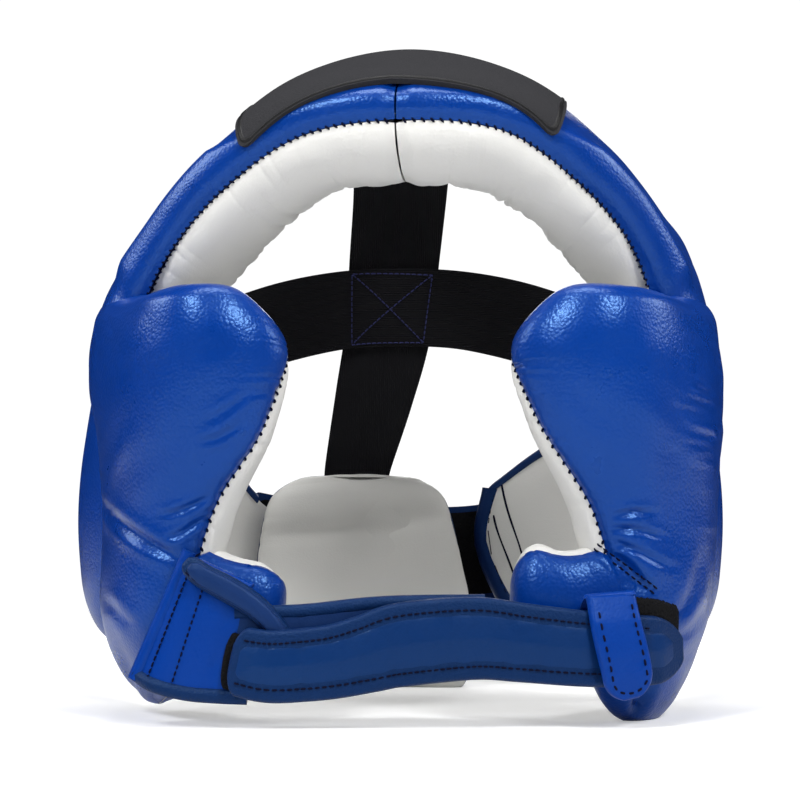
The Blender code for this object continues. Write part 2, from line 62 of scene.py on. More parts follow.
def set_inputs(node, **values):
    """Set sockets by name, with _ for a space: Base_Color=(r, g, b, a)."""
    for name, value in values.items():
        node.inputs[name.replace("_", " ")].default_value = value
    return node


def add_node(tree, kind, **values):
    return set_inputs(tree.nodes.new("ShaderNode" + kind), **values)


def plain_material(name, colour, roughness, shine=0.5):
    mat = bpy.data.materials.new(name)
    mat.use_nodes = True
    shader = mat.node_tree.nodes["Principled BSDF"]
    set_inputs(shader, Base_Color=(*colour, 1.0), Roughness=roughness, Specular_IOR_Level=shine)
    return mat


def map_range(tree, value, low, high, to_low, to_high):
    """Map a value from low..high to to_low..to_high."""
    node = add_node(tree, "MapRange", From_Min=low, From_Max=high, To_Min=to_low, To_Max=to_high)
    tree.links.new(value, node.inputs["Value"])
    return node.outputs["Result"]


def add_light(tree, shader, light):
    """A surface that also glows by itself."""
    both = add_node(tree, "AddShader")
    tree.links.new(shader, both.inputs[0])
    tree.links.new(light, both.inputs[1])
    return both.outputs["Shader"]


def surface_by_ray(tree, lighting, seen, output):
    """End in one surface for the light that is thrown about and another for what is seen of it."""
    ray, choice = add_node(tree, "LightPath"), add_node(tree, "MixShader")
    tree.links.new(ray.outputs["Is Camera Ray"], choice.inputs["Fac"])
    tree.links.new(lighting, choice.inputs[1])
    tree.links.new(seen, choice.inputs[2])
    tree.links.new(choice.outputs["Shader"], tree.nodes[output].inputs["Surface"])


TABLE_SIZE = 8.0
bpy.ops.mesh.primitive_plane_add(size=TABLE_SIZE, location=(0, 0, 0))
table = bpy.context.object
table.name = "table"
table_white = plain_material("table_white", (0.80, 0.80, 0.80), 0.7)
tree = table_white.node_tree
spot, far = add_node(tree, "NewGeometry"), add_node(tree, "VectorMath")
far.operation = "LENGTH"
tree.links.new(spot.outputs["Position"], far.inputs[0])
glow = add_node(tree, "Emission")  # washes the table out to the white of the backdrop
tree.links.new(map_range(tree, far.outputs["Value"], 0.25, 1.2, 0.33, 1.0), glow.inputs["Strength"])
bounce = add_node(tree, "Emission", Strength=0.05)  # painted bounce light: the table itself glows faintly for all but camera rays, in place of the light a white sweep would throw up from below
matt = tree.nodes["Principled BSDF"].outputs["BSDF"]
lit = add_light(tree, matt, bounce.outputs["Emission"])
washed = add_light(tree, matt, glow.outputs["Emission"])
surface_by_ray(tree, lit, washed, "Material Output")
table.data.materials.append(table_white)

room = bpy.data.worlds.new("room")
room.use_nodes = True
tree = room.node_tree
backdrop = set_inputs(tree.nodes["Background"], Color=(1.0, 1.0, 1.0, 1.0), Strength=1.05)
walls = add_node(tree, "Background", Strength=0.03)  # light the headgear: bright above, dim below
upward, parts = add_node(tree, "TexCoord"), add_node(tree, "SeparateXYZ")
tree.links.new(upward.outputs["Generated"], parts.inputs["Vector"])
tree.links.new(map_range(tree, parts.outputs["Z"], -0.1, 0.9, 0.06, 1.0), walls.inputs["Color"])
surface_by_ray(tree, walls.outputs["Background"], backdrop.outputs["Background"], "World Output")
scene.world = room


def soft_box(name, place, aim, width, height, power):
    light = bpy.data.lights.new(name, "AREA")
    light.shape = "RECTANGLE"
    light.size, light.size_y, light.energy = width, height, power
    lamp = link(bpy.data.objects.new(name, light))
    lamp.location = place
    lamp.rotation_euler = (Vector(aim) - Vector(place)).to_track_quat("-Z", "Y").to_euler()


for name, place, aim, width, height, power in (
    ("front_left", (-0.50, -0.95, 0.90), (0.0, -0.10, 0.12), 0.20, 0.32, 9.0),
    ("front_right", (0.52, -0.95, 0.88), (0.0, -0.10, 0.12), 0.20, 0.32, 8.4),
    ("side_left", (-1.08, -0.12, 0.80), (0.0, -0.05, 0.12), 0.50, 0.50, 5.5),
    ("side_right", (1.12, -0.10, 0.74), (0.0, -0.05, 0.12), 0.50, 0.50, 5.0),
    ("top", (0.0, -0.24, 1.18), (0.0, 0.02, 0.10), 0.60, 0.40, 6.5),
    ("back", (0.0, 0.95, 0.45), (0.0, 0.05, 0.10), 0.50, 0.40, 3.0),
):
    soft_box(name, place, aim, width, height, power)

EYE = (-0.001, -0.558, 0.0395)
TILT = math.radians(7.8)  # the camera looks up by this much
LENS_MM = 64.44
camera = link(bpy.data.objects.new("camera", bpy.data.cameras.new("camera")))
camera.data.lens = LENS_MM
camera.data.clip_start = 0.01
camera.location = EYE
camera.rotation_euler = (math.radians(90) + TILT, 0, 0)
scene.camera = camera

# --- Brow pad --------------------------------------------------------------------------------------
# The arch over the forehead: two pieces of blue leather joined down the middle, an off-white
# leather lining gathered round the hollow side, and foam between them. Shell and lining are
# whip-stitched together along the front edge.

MM = 0.001
QUARTER = 0.5 * math.pi
SIDES = (("left", False), ("right", True))


def weights(count, t):
    """Share of each of count points in a smooth curve through them, at t in 0..1."""
    x = np.clip(t, 0, 1) * (count - 1)
    i = np.minimum(x.astype(int), count - 2)
    f = x - i
    share = np.zeros((len(t), count + 2))
    rows = np.arange(len(t))
    share[rows, i] = 0.5 * (-f + 2 * f**2 - f**3)
    share[rows, i + 1] = 1 + 0.5 * f**2 * (3 * f - 5)
    share[rows, i + 2] = 0.5 * (f + 4 * f**2 - 3 * f**3)
    share[rows, i + 3] = 0.5 * (f**3 - f**2)
    share[:, 1] += 2 * share[:, 0]
    share[:, 2] -= share[:, 0]
    share[:, count] += 2 * share[:, -1]
    share[:, count - 1] -= share[:, -1]
    return share[:, 1:-1]


def along_curve(points, t):
    return weights(len(points), np.asarray(t, float)) @ np.asarray(points, float)


def unit(vectors):
    return vectors / np.linalg.norm(vectors, axis=-1, keepdims=True)


def run_along(points):
    """Distance of each point of a line from its first one."""
    return np.concatenate([[0.0], np.cumsum(np.linalg.norm(np.diff(points, axis=0), axis=1))])


def ramp(x):
    """0 below 0, 1 above 1."""
    return np.clip(x, 0, 1)


def eased(x):
    """The same, with a soft start and end."""
    return ramp(x) * ramp(x) * (3 - 2 * ramp(x))


def bell(x):
    return np.exp(-(x**2))


def quarter_round(x):
    """Height of a quarter circle from 0 at x = 0 to 1 at x = 1."""
    return np.sqrt(1 - (1 - ramp(x)) ** 2)


class Pad:
    """A stuffed panel: a bent middle surface swollen to a rounded section.

    s runs along it from 0 to 1. phi goes round its section: 0 on the outer side, a quarter turn
    at its far edge, a half turn on the inner side.
    """

    def __init__(self, net, thick, ends=(0.2, 0.2), corner=0.5, rests=False, power=0.75):
        self.net = np.array(net, float)
        self.thick = np.array(thick, float)
        self.ends, self.rests, self.power = ends, rests, power
        self.corner = corner if isinstance(corner, tuple) else (corner, corner)
        self.length = run_along(self.middle(np.linspace(0, 1, 25), np.full(25, 0.5)))[-1]

    def middle(self, u, v):
        along, across = weights(self.net.shape[0], u), weights(self.net.shape[1], v)
        return np.einsum("ni,nj,ijk->nk", along, across, self.net, optimize=True)

    def fullness(self, s):
        full = np.ones_like(s)
        for end, x in zip(self.ends, (s, 1 - s)):
            full = np.minimum(full, quarter_round(x / end))
        return full

    def drawn_in(self, s):
        """How much of the width is left where an end rounds off; the ends can differ."""
        keep = np.ones_like(s)
        for end, corner, x in zip(self.ends, self.corner, (s, 1 - s)):
            keep = np.minimum(keep, 1 - corner * (1 - quarter_round(x / end)))
        return keep

    def surface(self, s, phi):
        shape = np.broadcast(s, phi).shape
        s = np.broadcast_to(s, shape).ravel().astype(float)
        phi = np.broadcast_to(phi, shape).ravel().astype(float)
        full = self.fullness(s)
        sine, cosine = np.sin(phi), np.cos(phi)
        v = 0.5 + 0.5 * self.drawn_in(s) * np.sign(sine) * np.abs(sine) ** self.power
        half = weights(len(self.thick), s) @ self.thick / 2
        depth = half * full * np.sign(cosine) * np.abs(cosine) ** self.power
        step = 1e-3
        normal = unit(np.cross(
            self.middle(s + step, v) - self.middle(s - step, v),
            self.middle(s, v + step) - self.middle(s, v - step),
        ))
        out = self.middle(s, v) + normal * depth[:, None]
        if self.rests:
            out[:, 2] = np.maximum(out[:, 2], 0.0)
        return out.reshape(*shape, 3)

    def closed(self, steps=40):
        """The whole pad as one rough tube, for measuring how near another pad is."""
        s, phi = np.meshgrid(np.linspace(0, 1, steps), np.linspace(0, 4 * QUARTER, 32), indexing="ij")
        return self.surface(s, phi)


def flip(points):
    return points * np.array([-1.0, 1.0, 1.0])


def facing(grid):
    """Unit normals of a grid of points, towards along x across."""
    along, across = np.gradient(grid, axis=0), np.gradient(grid, axis=1)
    normal = np.cross(along, across)
    size = np.linalg.norm(normal, axis=2)[..., None]
    return normal / np.maximum(size, 1e-12)


def quads(rows, cols, start=0, wrap=False):
    """Faces of a grid whose points are numbered row by row; wrap joins its last column to its first."""
    faces = []
    for i in range(rows - 1):
        for j in range(cols if wrap else cols - 1):
            a, b = start + i * cols + j, start + i * cols + (j + 1) % cols
            faces.append((a, b, b + cols, a + cols))
    return faces


def grid_tree(grid):
    """Search tree over the quads of a grid."""
    return BVHTree.FromPolygons([Vector(p) for p in grid.reshape(-1, 3)], quads(*grid.shape[:2]))


def swell_into(grid, tree, reach):
    """Lift near a pad that this one is joined to, which makes the crease between them a soft one."""
    lift = np.zeros(grid.shape[:2])
    for i in range(grid.shape[0]):
        for j in range(grid.shape[1]):
            found = tree.find_nearest(Vector(grid[i, j]), reach)
            if found[0] is not None:
                near = 1 - found[3] / reach
                lift[i, j] = near**2 * reach / 5
    return lift


def ripple(x, seed):
    """Uneven wave between about -1 and 1 for x in wavelengths."""
    total = np.zeros_like(x)
    for k, size in ((0.61, 0.35), (1.0, 0.40), (1.73, 0.25)):
        total += size * np.sin(2 * math.pi * (x * k + seed * (k + 0.37)))
    return total


def mesh_object(name, points, faces, mat):
    mesh = bpy.data.meshes.new(name)
    mesh.from_pydata([tuple(p) for p in points], [], faces)
    mesh.materials.append(mat)
    mesh.validate()
    work = bmesh.new()
    work.from_mesh(mesh)
    bmesh.ops.remove_doubles(work, verts=work.verts, dist=2e-6)
    bmesh.ops.recalc_face_normals(work, faces=work.faces)
    work.to_mesh(mesh)
    work.free()
    mesh.shade_smooth()
    mesh.set_sharp_from_angle(angle=math.radians(60))
    return link(bpy.data.objects.new(name, mesh))


def skin_object(name, outer, normal, thick, mat):
    """Closed sheet of leather: its outer face as a fine grid, its inner one with few columns."""
    rows, cols = outer.shape[:2]
    picked = np.linspace(0, cols - 1, 7).astype(int)
    inner = outer[:, picked] - normal[:, picked] * thick[:, picked, None]
    points = np.concatenate([outer.reshape(-1, 3), inner.reshape(-1, 3)])
    start, few = rows * cols, len(picked)
    faces = quads(rows, cols) + quads(rows, few, start)
    for i in range(rows - 1):
        for a, b in ((i * cols, start + i * few), (i * cols + cols - 1, start + i * few + few - 1)):
            faces.append((a, b, b + few, a + cols))
    for i in (0, rows - 1):
        outside = [i * cols + j for j in range(cols)]
        faces.append(outside + [start + i * few + j for j in reversed(range(few))])
    return mesh_object(name, points, faces, mat)


LEATHER = 1.2 * MM


def edge_spacing(count, first, last):
    """Columns from first to last, closer together at both edges, where the seams are."""
    x = np.linspace(0, 1, count)
    return first + (last - first) * (0.35 * x + 0.65 * (0.5 - 0.5 * np.cos(math.pi * x)))


class Skin:
    """Leather over part of a pad: arc is the range of phi that it covers, span that of s.

    An end of the arc is an angle, or a function that gives it for each s.
    """

    def __init__(self, pad, arc, span=(0.0, 1.0), rows=200, cols=40, mirror=False, nudge=None):
        self.pad, self.mirror = pad, mirror
        self.s, share = np.meshgrid(
            edge_spacing(rows, *span) if span == (0.0, 1.0) else np.linspace(*span, rows),
            edge_spacing(cols, 0.0, 1.0),
            indexing="ij",
        )
        first, last = (np.asarray(a(self.s[:, 0]) if callable(a) else a).reshape(-1, 1) for a in arc)
        self.phi = first + (last - first) * share
        self.points = pad.surface(self.s, self.phi)
        if nudge is not None:
            self.points = self.points + nudge(self.points)
        self.normal = facing(self.points)
        steps = np.linalg.norm(np.diff(self.points, axis=1), axis=2)
        self.near = np.concatenate([np.zeros((rows, 1)), np.cumsum(steps, axis=1)], axis=1)
        self.far = self.near[:, -1:] - self.near
        self.along = run_along(self.points[:, cols // 2])[:, None] + 0 * self.near

    def lift(self, amount):
        self.points = self.points + self.normal * amount[..., None]
        self.normal = facing(self.points)

    def window(self, first, last):
        """1 for s between first and last, 0 beyond them."""
        soft = 0.04
        return eased(ramp((self.s - first) / soft + 0.5) * ramp((last - self.s) / soft + 0.5))

    def tuck(self, run, depth, reach):
        """Sink towards an edge, as leather does where a seam pulls it down."""
        self.lift(-depth * bell(run / reach))

    def gather(self, run, pitch, depth, reach, seed, span=(-1.0, 2.0), slant=0.0):
        """Creases that run away from an edge: run is the distance from it."""
        x = (self.along + slant * run) / pitch
        slow, quick = np.sin(2 * math.pi * x / 3.1 + seed), np.sin(2 * math.pi * x / 1.7 + 2 * seed)
        x = x + 0.35 * slow + 0.2 * quick
        valley = (1 - np.abs(np.sin(math.pi * x))) ** 2
        uneven = np.clip(0.55 + 0.6 * ripple(x / 4.3, seed), 0, None)
        self.lift(-depth * valley * uneven * bell(run / reach) * self.window(*span))

    def fold(self, points, width, depth, bulge=0.0):
        """Crease seen from the front along a line of (x, z) points, with a bulge on both its sides."""
        count = 40
        line = along_curve(points, np.linspace(0, 1, count))
        flat = self.points[..., (0, 2)]
        away = np.linalg.norm(flat[..., None, :] - line, axis=3)
        nearest, spot = away.min(axis=2), away.argmin(axis=2) / (count - 1)
        fade = ramp(4 * spot) * ramp(4 * (1 - spot)) * ramp(0.3 - self.normal[..., 1])
        beside = np.exp(-((nearest / width / 2.2 - 1) ** 2) * 3)
        self.lift((bulge * beside - depth * bell(nearest / width)) * fade)

    def swell(self, size, amount, seed):
        """Soft unevenness of stuffed leather."""
        amount = amount * ripple(self.along / size, seed) * ripple(self.near / size / 0.8, seed + 0.31)
        self.lift(amount)

    def spot(self, s, run, last=False, lift=0.0):
        """Point on the skin at a distance from its first edge, or from its last one."""
        row = np.interp(s, self.s[:, 0], np.arange(len(self.s)))
        i = min(int(row), len(self.s) - 2)
        f = row - i
        out = []
        for k in (i, i + 1):
            runs, points, normal = self.near[k], self.points[k], self.normal[k]
            if last:
                runs, points, normal = self.far[k][::-1], points[::-1], normal[::-1]
            out.append([np.interp(run, runs, points[:, c] + lift * normal[:, c]) for c in range(3)])
        point = (1 - f) * np.array(out[0]) + f * np.array(out[1])
        return flip(point) if self.mirror else point

    def build(self, name, mat, slot, nodes, fill):
        full = self.pad.fullness(self.s) * 0.9 + 0.1
        if self.pad.rests:
            self.points[..., 2] = np.maximum(self.points[..., 2], 0.0)
        points, normal = self.points, self.normal
        if self.mirror:
            points, normal = flip(points), flip(normal)
        piece = skin_object(name, points, normal, LEATHER * full, mat)
        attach(piece, "headgear")
        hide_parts(*nodes)
        return piece


AWRY = np.array([0.31, 0.53, 0.79])  # a direction that no thread runs in
THREAD_FACETS = 5


def threads(name, runs, radius, mat, body="headgear"):
    """Many short threads in one piece; runs holds the points of each, all of one count."""
    runs = np.array(runs, float)
    total, count = runs.shape[:2]
    tangent = np.gradient(runs, axis=1)
    tangent /= np.linalg.norm(tangent, axis=2)[..., None] + 1e-12
    bend = unit(np.cross(tangent, AWRY))
    other = np.cross(tangent, bend)
    sides = THREAD_FACETS
    turn = np.arange(sides) * 2 * math.pi / sides
    taper = np.full(count, radius)
    taper[[0, -1]] *= 0.6
    ring = bend[..., None, :] * np.cos(turn)[:, None] + other[..., None, :] * np.sin(turn)[:, None]
    points = (runs[..., None, :] + ring * taper[:, None, None]).reshape(-1, 3)
    faces = []
    for k in range(total):
        first, last = k * count * sides, (k * count + count - 1) * sides
        faces += quads(count, sides, first, wrap=True)
        faces.append([first + j for j in reversed(range(sides))])
        faces.append([last + j for j in range(sides)])
    mesh = bpy.data.meshes.new(name)
    mesh.from_pydata([tuple(p) for p in points], [], faces)
    mesh.materials.append(mat)
    mesh.shade_smooth()
    piece = link(bpy.data.objects.new(name, mesh))
    if body:
        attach(piece, body)
    return piece


THREAD = plain_material("navy_thread", (0.002, 0.003, 0.018), 0.8, shine=0.1)
THREAD_RADIUS = 0.42 * MM
STITCH_REACH = 0.5 * MM  # how far from the edge a stitch goes into the leather
STITCH_SLANT = 0.2
SUNK, RAISED, ON_TOP = -0.2 * MM, 0.3 * MM, 0.5 * MM  # height of a stitch along its way over the edge


def whip_stitches(name, shell, lining, span, pitch=2.5 * MM):
    """Thread over and over the edge between a shell's first edge and its lining's last one."""
    length = run_along([shell.spot(s, 0.0) for s in np.linspace(*span, 60)])[-1]
    count = int(length / pitch)
    lean = STITCH_SLANT * (span[1] - span[0]) / count
    reach = STITCH_REACH
    runs = []
    for k in range(count):
        s = span[0] + (span[1] - span[0]) * (k + 0.5) / count
        top = shell.spot(s, 0.0, lift=ON_TOP) + lining.spot(s, 0.0, last=True, lift=ON_TOP)
        runs.append([
            shell.spot(s - lean, reach, lift=SUNK),
            shell.spot(s - 0.5 * lean, 0.5 * reach, lift=RAISED),
            0.5 * top,
            lining.spot(s + 0.5 * lean, 0.5 * reach, last=True, lift=RAISED),
            lining.spot(s + lean, reach, last=True, lift=SUNK),
        ])
    return threads(name, runs, THREAD_RADIUS, THREAD)


def new_group(name, inputs, outputs):
    """Empty shader group with float sockets, its input node and its output node."""
    group = bpy.data.node_groups.new(name, "ShaderNodeTree")
    for in_out, titles in (("INPUT", inputs), ("OUTPUT", outputs)):
        for title in titles:
            group.interface.new_socket(title, in_out=in_out, socket_type="NodeSocketFloat")
    return group, group.nodes.new("NodeGroupInput"), group.nodes.new("NodeGroupOutput")


def place_group(tree, group, **values):
    node = add_node(tree, "Group")
    node.node_tree = group
    return set_inputs(node, **values)


def raise_surface(tree, height, strength):
    """Bump a material by up to a millimetre."""
    bump = add_node(tree, "Bump", Strength=strength, Distance=MM)
    tree.links.new(height, bump.inputs["Height"])
    tree.links.new(bump.outputs["Normal"], tree.nodes["Principled BSDF"].inputs["Normal"])


def grain_group():
    """Pebbled leather: Height for a bump, Tone for slow changes of colour, Polish for gloss."""
    group, given, result = new_group("leather_grain", ("Pebbles", "Depth"), ("Height", "Tone", "Polish"))
    links = group.links
    place = add_node(group, "TexCoord")

    def noise(scale, detail, rough):
        node = add_node(group, "TexNoise", Scale=scale, Detail=detail, Roughness=rough)
        links.new(place.outputs["Object"], node.inputs["Vector"])
        return node.outputs["Fac"]

    def maths(operation, a, b):
        node = add_node(group, "Math")
        node.operation = operation
        for socket, value in zip(node.inputs, (a, b)):
            if isinstance(value, float):
                socket.default_value = value
            else:
                links.new(value, socket)
        return node.outputs[0]

    cells = add_node(group, "TexVoronoi")
    cells.feature = "SMOOTH_F1"
    set_inputs(cells, Smoothness=0.35)
    links.new(place.outputs["Object"], cells.inputs["Vector"])
    links.new(given.outputs["Pebbles"], cells.inputs["Scale"])
    dome = maths("SUBTRACT", 0.6, cells.outputs["Distance"])
    pebble = maths("MULTIPLY", dome, given.outputs["Depth"])
    crease = maths("MULTIPLY", noise(130.0, 6.0, 0.65), 0.22)
    links.new(maths("ADD", pebble, crease), result.inputs["Height"])
    links.new(noise(14.0, 3.0, 0.55), result.inputs["Tone"])
    links.new(noise(60.0, 4.0, 0.6), result.inputs["Polish"])
    return group


LEATHER_GRAIN = grain_group()


def leather(name, colours, roughness, pebbles=950.0, depth=1.0, bump=0.11, shine=0.26, glint=(1.0,) * 3):
    """Leather that drifts between two colours and two roughnesses; glint colours its highlights."""
    mat = plain_material(name, colours[0], roughness[0], shine)
    tree = mat.node_tree
    shader = tree.nodes["Principled BSDF"]
    shader.inputs["Specular Tint"].default_value = (*glint, 1.0)
    grain = place_group(tree, LEATHER_GRAIN, Pebbles=pebbles, Depth=depth)
    drift = add_node(tree, "Mix")
    drift.data_type = "RGBA"
    for socket, colour in zip("AB", colours):
        drift.inputs[socket].default_value = (*colour, 1.0)
    tree.links.new(grain.outputs["Tone"], drift.inputs["Factor"])
    tree.links.new(drift.outputs["Result"], shader.inputs["Base Color"])
    polish = map_range(tree, grain.outputs["Polish"], 0.3, 0.7, *roughness)
    tree.links.new(polish, shader.inputs["Roughness"])
    raise_surface(tree, grain.outputs["Height"], bump)
    return mat


BLUE = leather(
    "blue_leather",
    ((0.0, 0.036, 0.265), (0.0, 0.025, 0.195)),
    (0.26, 0.34),
    shine=0.66,
    glint=(0.27, 0.55, 1.0),
)
WHITE = leather(
    "lining_leather",
    ((0.74, 0.735, 0.71), (0.66, 0.655, 0.63)),
    (0.42, 0.55),
    pebbles=1300.0,
    depth=0.5,
)

brow_half = MM * np.array([
    [(0.0, -120.0, 189.2), (0.0, -92.5, 197.5), (0.0, -53.5, 217.5), (0.0, -16.0, 228.0)],
    [(30.0, -115.0, 185.8), (31.8, -89.0, 195.0), (34.0, -52.0, 210.0), (34.5, -14.0, 219.0)],
    [(54.8, -103.0, 173.0), (58.3, -78.0, 180.0), (61.8, -44.0, 192.5), (64.0, -9.0, 199.0)],
    [(73.5, -90.0, 156.5), (77.5, -65.0, 162.5), (82.5, -35.0, 172.0), (86.0, -3.0, 178.0)],
    [(86.0, -77.0, 137.0), (91.0, -52.0, 147.5), (95.5, -26.0, 160.0), (97.0, 2.0, 168.0)],
    [(91.0, -70.0, 114.0), (94.5, -44.0, 120.0), (97.0, -18.0, 128.0), (98.5, 8.0, 133.0)],
])
BROW_THICK = 36 * MM
BROW_LEAN = np.array([0.0, 1.0, 3.0, 4.5]) * MM  # the arch leans over to the left behind its front
LEAN_SHARE = np.array([1.3, 1.2, 1.0, 1.0, 1.0, 1.0, 1.0, 0.9, 0.7, 0.1, 0.0])
brow_net = np.concatenate([flip(brow_half[:0:-1]), brow_half])
brow_net[..., 0] += BROW_LEAN * LEAN_SHARE[:, None]
brow_net[:6, 0, 0] -= 2.5 * MM  # and the seam lies a little off the middle
brow_net[6:9, 0] += np.array([1.5, 0.0, 2.0]) * MM
brow_net[1:5, 1:, 0] += np.array([1.6, 2.6, 2.6, 1.2])[:, None] * MM
brow = Pad(
    brow_net,
    BROW_THICK * np.array([0.60, 0.84, 0.92, 1.0, 0.92, 0.84, 0.60]),
    ends=(0.10, 0.10),
    corner=0.20,
)
cheek = Pad(
    MM * np.array([
        [(49.5, -104.5, 136.5), (69.0, -103.5, 138.5), (87.5, -72.0, 137.0), (93.0, -23.0, 150.0)],
        [(34.5, -108.0, 119.0), (68.5, -105.0, 120.0), (91.0, -69.0, 119.0), (96.5, -23.0, 127.0)],
        [(40.5, -108.0, 93.0), (71.5, -101.0, 93.0), (89.5, -67.0, 93.0), (95.0, -23.0, 94.0)],
        [(55.0, -103.0, 64.0), (75.5, -94.0, 64.5), (89.0, -64.0, 65.0), (93.5, -23.0, 66.0)],
        [(60.0, -99.5, 33.0), (77.5, -92.0, 34.0), (90.0, -63.0, 35.0), (93.5, -23.0, 37.0)],
        [(53.0, -97.5, 8.5), (73.5, -87.5, -1.0), (83.0, -62.0, 0.5), (88.0, -29.0, 14.0)],
    ]),
    30 * MM * np.array([1.0, 1.1, 1.0, 0.9, 0.85]),
    ends=(0.10, 0.20),
    corner=(0.28, 0.50),
    rests=True,
)
cheek_tree = grid_tree(cheek.closed())
JOIN_REACH = 30 * MM

centre_gap = 0.3 * MM / brow.length
for side, span, seed in (("right", (0.0, 0.5 - centre_gap), 0.2), ("left", (0.5 + centre_gap, 1.0), 0.7)):
    shell = Skin(brow, (-QUARTER, QUARTER), span, rows=260, cols=48)
    joined = flip(shell.points) if side == "right" else shell.points
    shell.lift(swell_into(joined, cheek_tree, JOIN_REACH))
    shell.swell(38 * MM, 0.3 * MM, seed)
    clear = ramp((abs(shell.s - 0.5) - 0.15) / 0.05)  # none under the patch, more beside it
    crest = np.hypot((shell.near - (8 + 6 * clear) * MM) / ((4 + 2.5 * clear) * MM), 0.25)
    shell.lift((1.0 + 2.6 * clear) * MM * np.exp(-crest) * shell.window(0.12, 0.88))
    shell.tuck(shell.near, 1.0 * MM, 2.2 * MM)
    shell.gather(shell.near, 7 * MM, 0.2 * MM, 5 * MM, seed)
    seam = abs(shell.s - 0.5) * brow.length
    shell.tuck(seam, 1.2 * MM, 3 * MM)
    lining = Skin(brow, (QUARTER, 3 * QUARTER), span, rows=300, cols=56)
    share = lining.near / (lining.near + lining.far)
    lining.lift(5.0 * MM * np.sin(math.pi * ramp(share) ** 0.75) ** 0.8)
    lining.swell(22 * MM, 0.5 * MM, seed + 0.1)
    lining.tuck(lining.far, 1.0 * MM, 2.2 * MM)
    lining.gather(lining.far, 8 * MM, 0.4 * MM, 9 * MM, seed + 0.4)
    lining.gather(abs(lining.far - 58 * MM), 13 * MM, 3.2 * MM, 26 * MM, seed + 0.2)
    lining.gather(abs(lining.far - 42 * MM), 8 * MM, 1.0 * MM, 17 * MM, seed + 0.9, slant=0.25)
    seam = abs(lining.s - 0.5) * brow.length
    lining.tuck(seam, 1.6 * MM, 3 * MM)
    nodes = (f"brow_shell_{side}", "brow_foam") if side == "left" else (f"brow_shell_{side}",)
    shell.build(f"brow_shell_{side}_leather", BLUE, "blue_leather", nodes, 0.9)
    lining.build(f"brow_lining_{side}_leather", WHITE, "lining_leather", (f"brow_lining_{side}",), 0.8)
    seam_span = (0.07, 0.495) if side == "right" else (0.505, 0.93)
    whip_stitches(f"brow_stitches_{side}", shell, lining, seam_span)

# --- Cheek pads ------------------------------------------------------------------------------------
# Thick pads over the cheekbones and jaw, in the same blue leather. Their lining wraps a little way
# round the edge beside the face, where it is whip-stitched to the shell.

brow_tree = grid_tree(brow.closed(120))
SEAM_TURN = (0, -8, -6, 2, 10, 18, 24, 27, 20, -10, -45)  # degrees that the seam turns to the front


def build_pair(part, side, shell, lining, fills):
    """The leather of one pad: its shell, which also stands for the foam inside, and its lining."""
    nodes = (f"{part}_shell_{side}", f"{part}_foam_{side}")
    shell.build(f"{part}_shell_{side}_leather", BLUE, "blue_leather", nodes, fills[0])
    nodes = (f"{part}_lining_{side}",)
    lining.build(f"{part}_lining_{side}_leather", WHITE, "lining_leather", nodes, fills[1])


def seam_turn(s):
    return np.radians(along_curve(np.array(SEAM_TURN, float)[:, None], s)[:, 0])


def cheek_first(s):
    return seam_turn(s) - QUARTER


def cheek_last(s):
    return seam_turn(s) + 3 * QUARTER


def right_cheek(points):
    """The right pad leans out beside the eye and in at the temple, and its lower end is lifted."""
    shift = np.zeros_like(points)
    x, y, z = (points[..., axis] for axis in range(3))
    beside_eye = eased((z - 0.08) / 0.045) * ramp((0.075 - x) / 0.02)
    temple = eased((z - 0.10) / 0.05) * ramp((x - 0.07) / 0.02)
    shift[..., 0] = (2.6 * beside_eye - 3.6 * temple) * MM
    front_end = eased(ramp((0.040 - z) / 0.035) * ramp((-0.055 - y) / 0.03))
    outer_end = ramp((0.03 - z) / 0.03) * ramp((x - 0.07) / 0.02)
    shift[..., 2] = (8 * front_end + 2.5 * outer_end) * MM
    return shift


def left_cheek(points):
    """The left pad is fuller at its outer side and hides most of the ear pad from the front."""
    shift = np.zeros_like(points)
    x, z = points[..., 0], points[..., 2]
    level = ramp((0.125 - z) / 0.03) * ramp((z - 0.022) / 0.040)
    shift[..., 0] = 4.8 * MM * level * ramp((x - 0.084) / 0.012)
    return shift


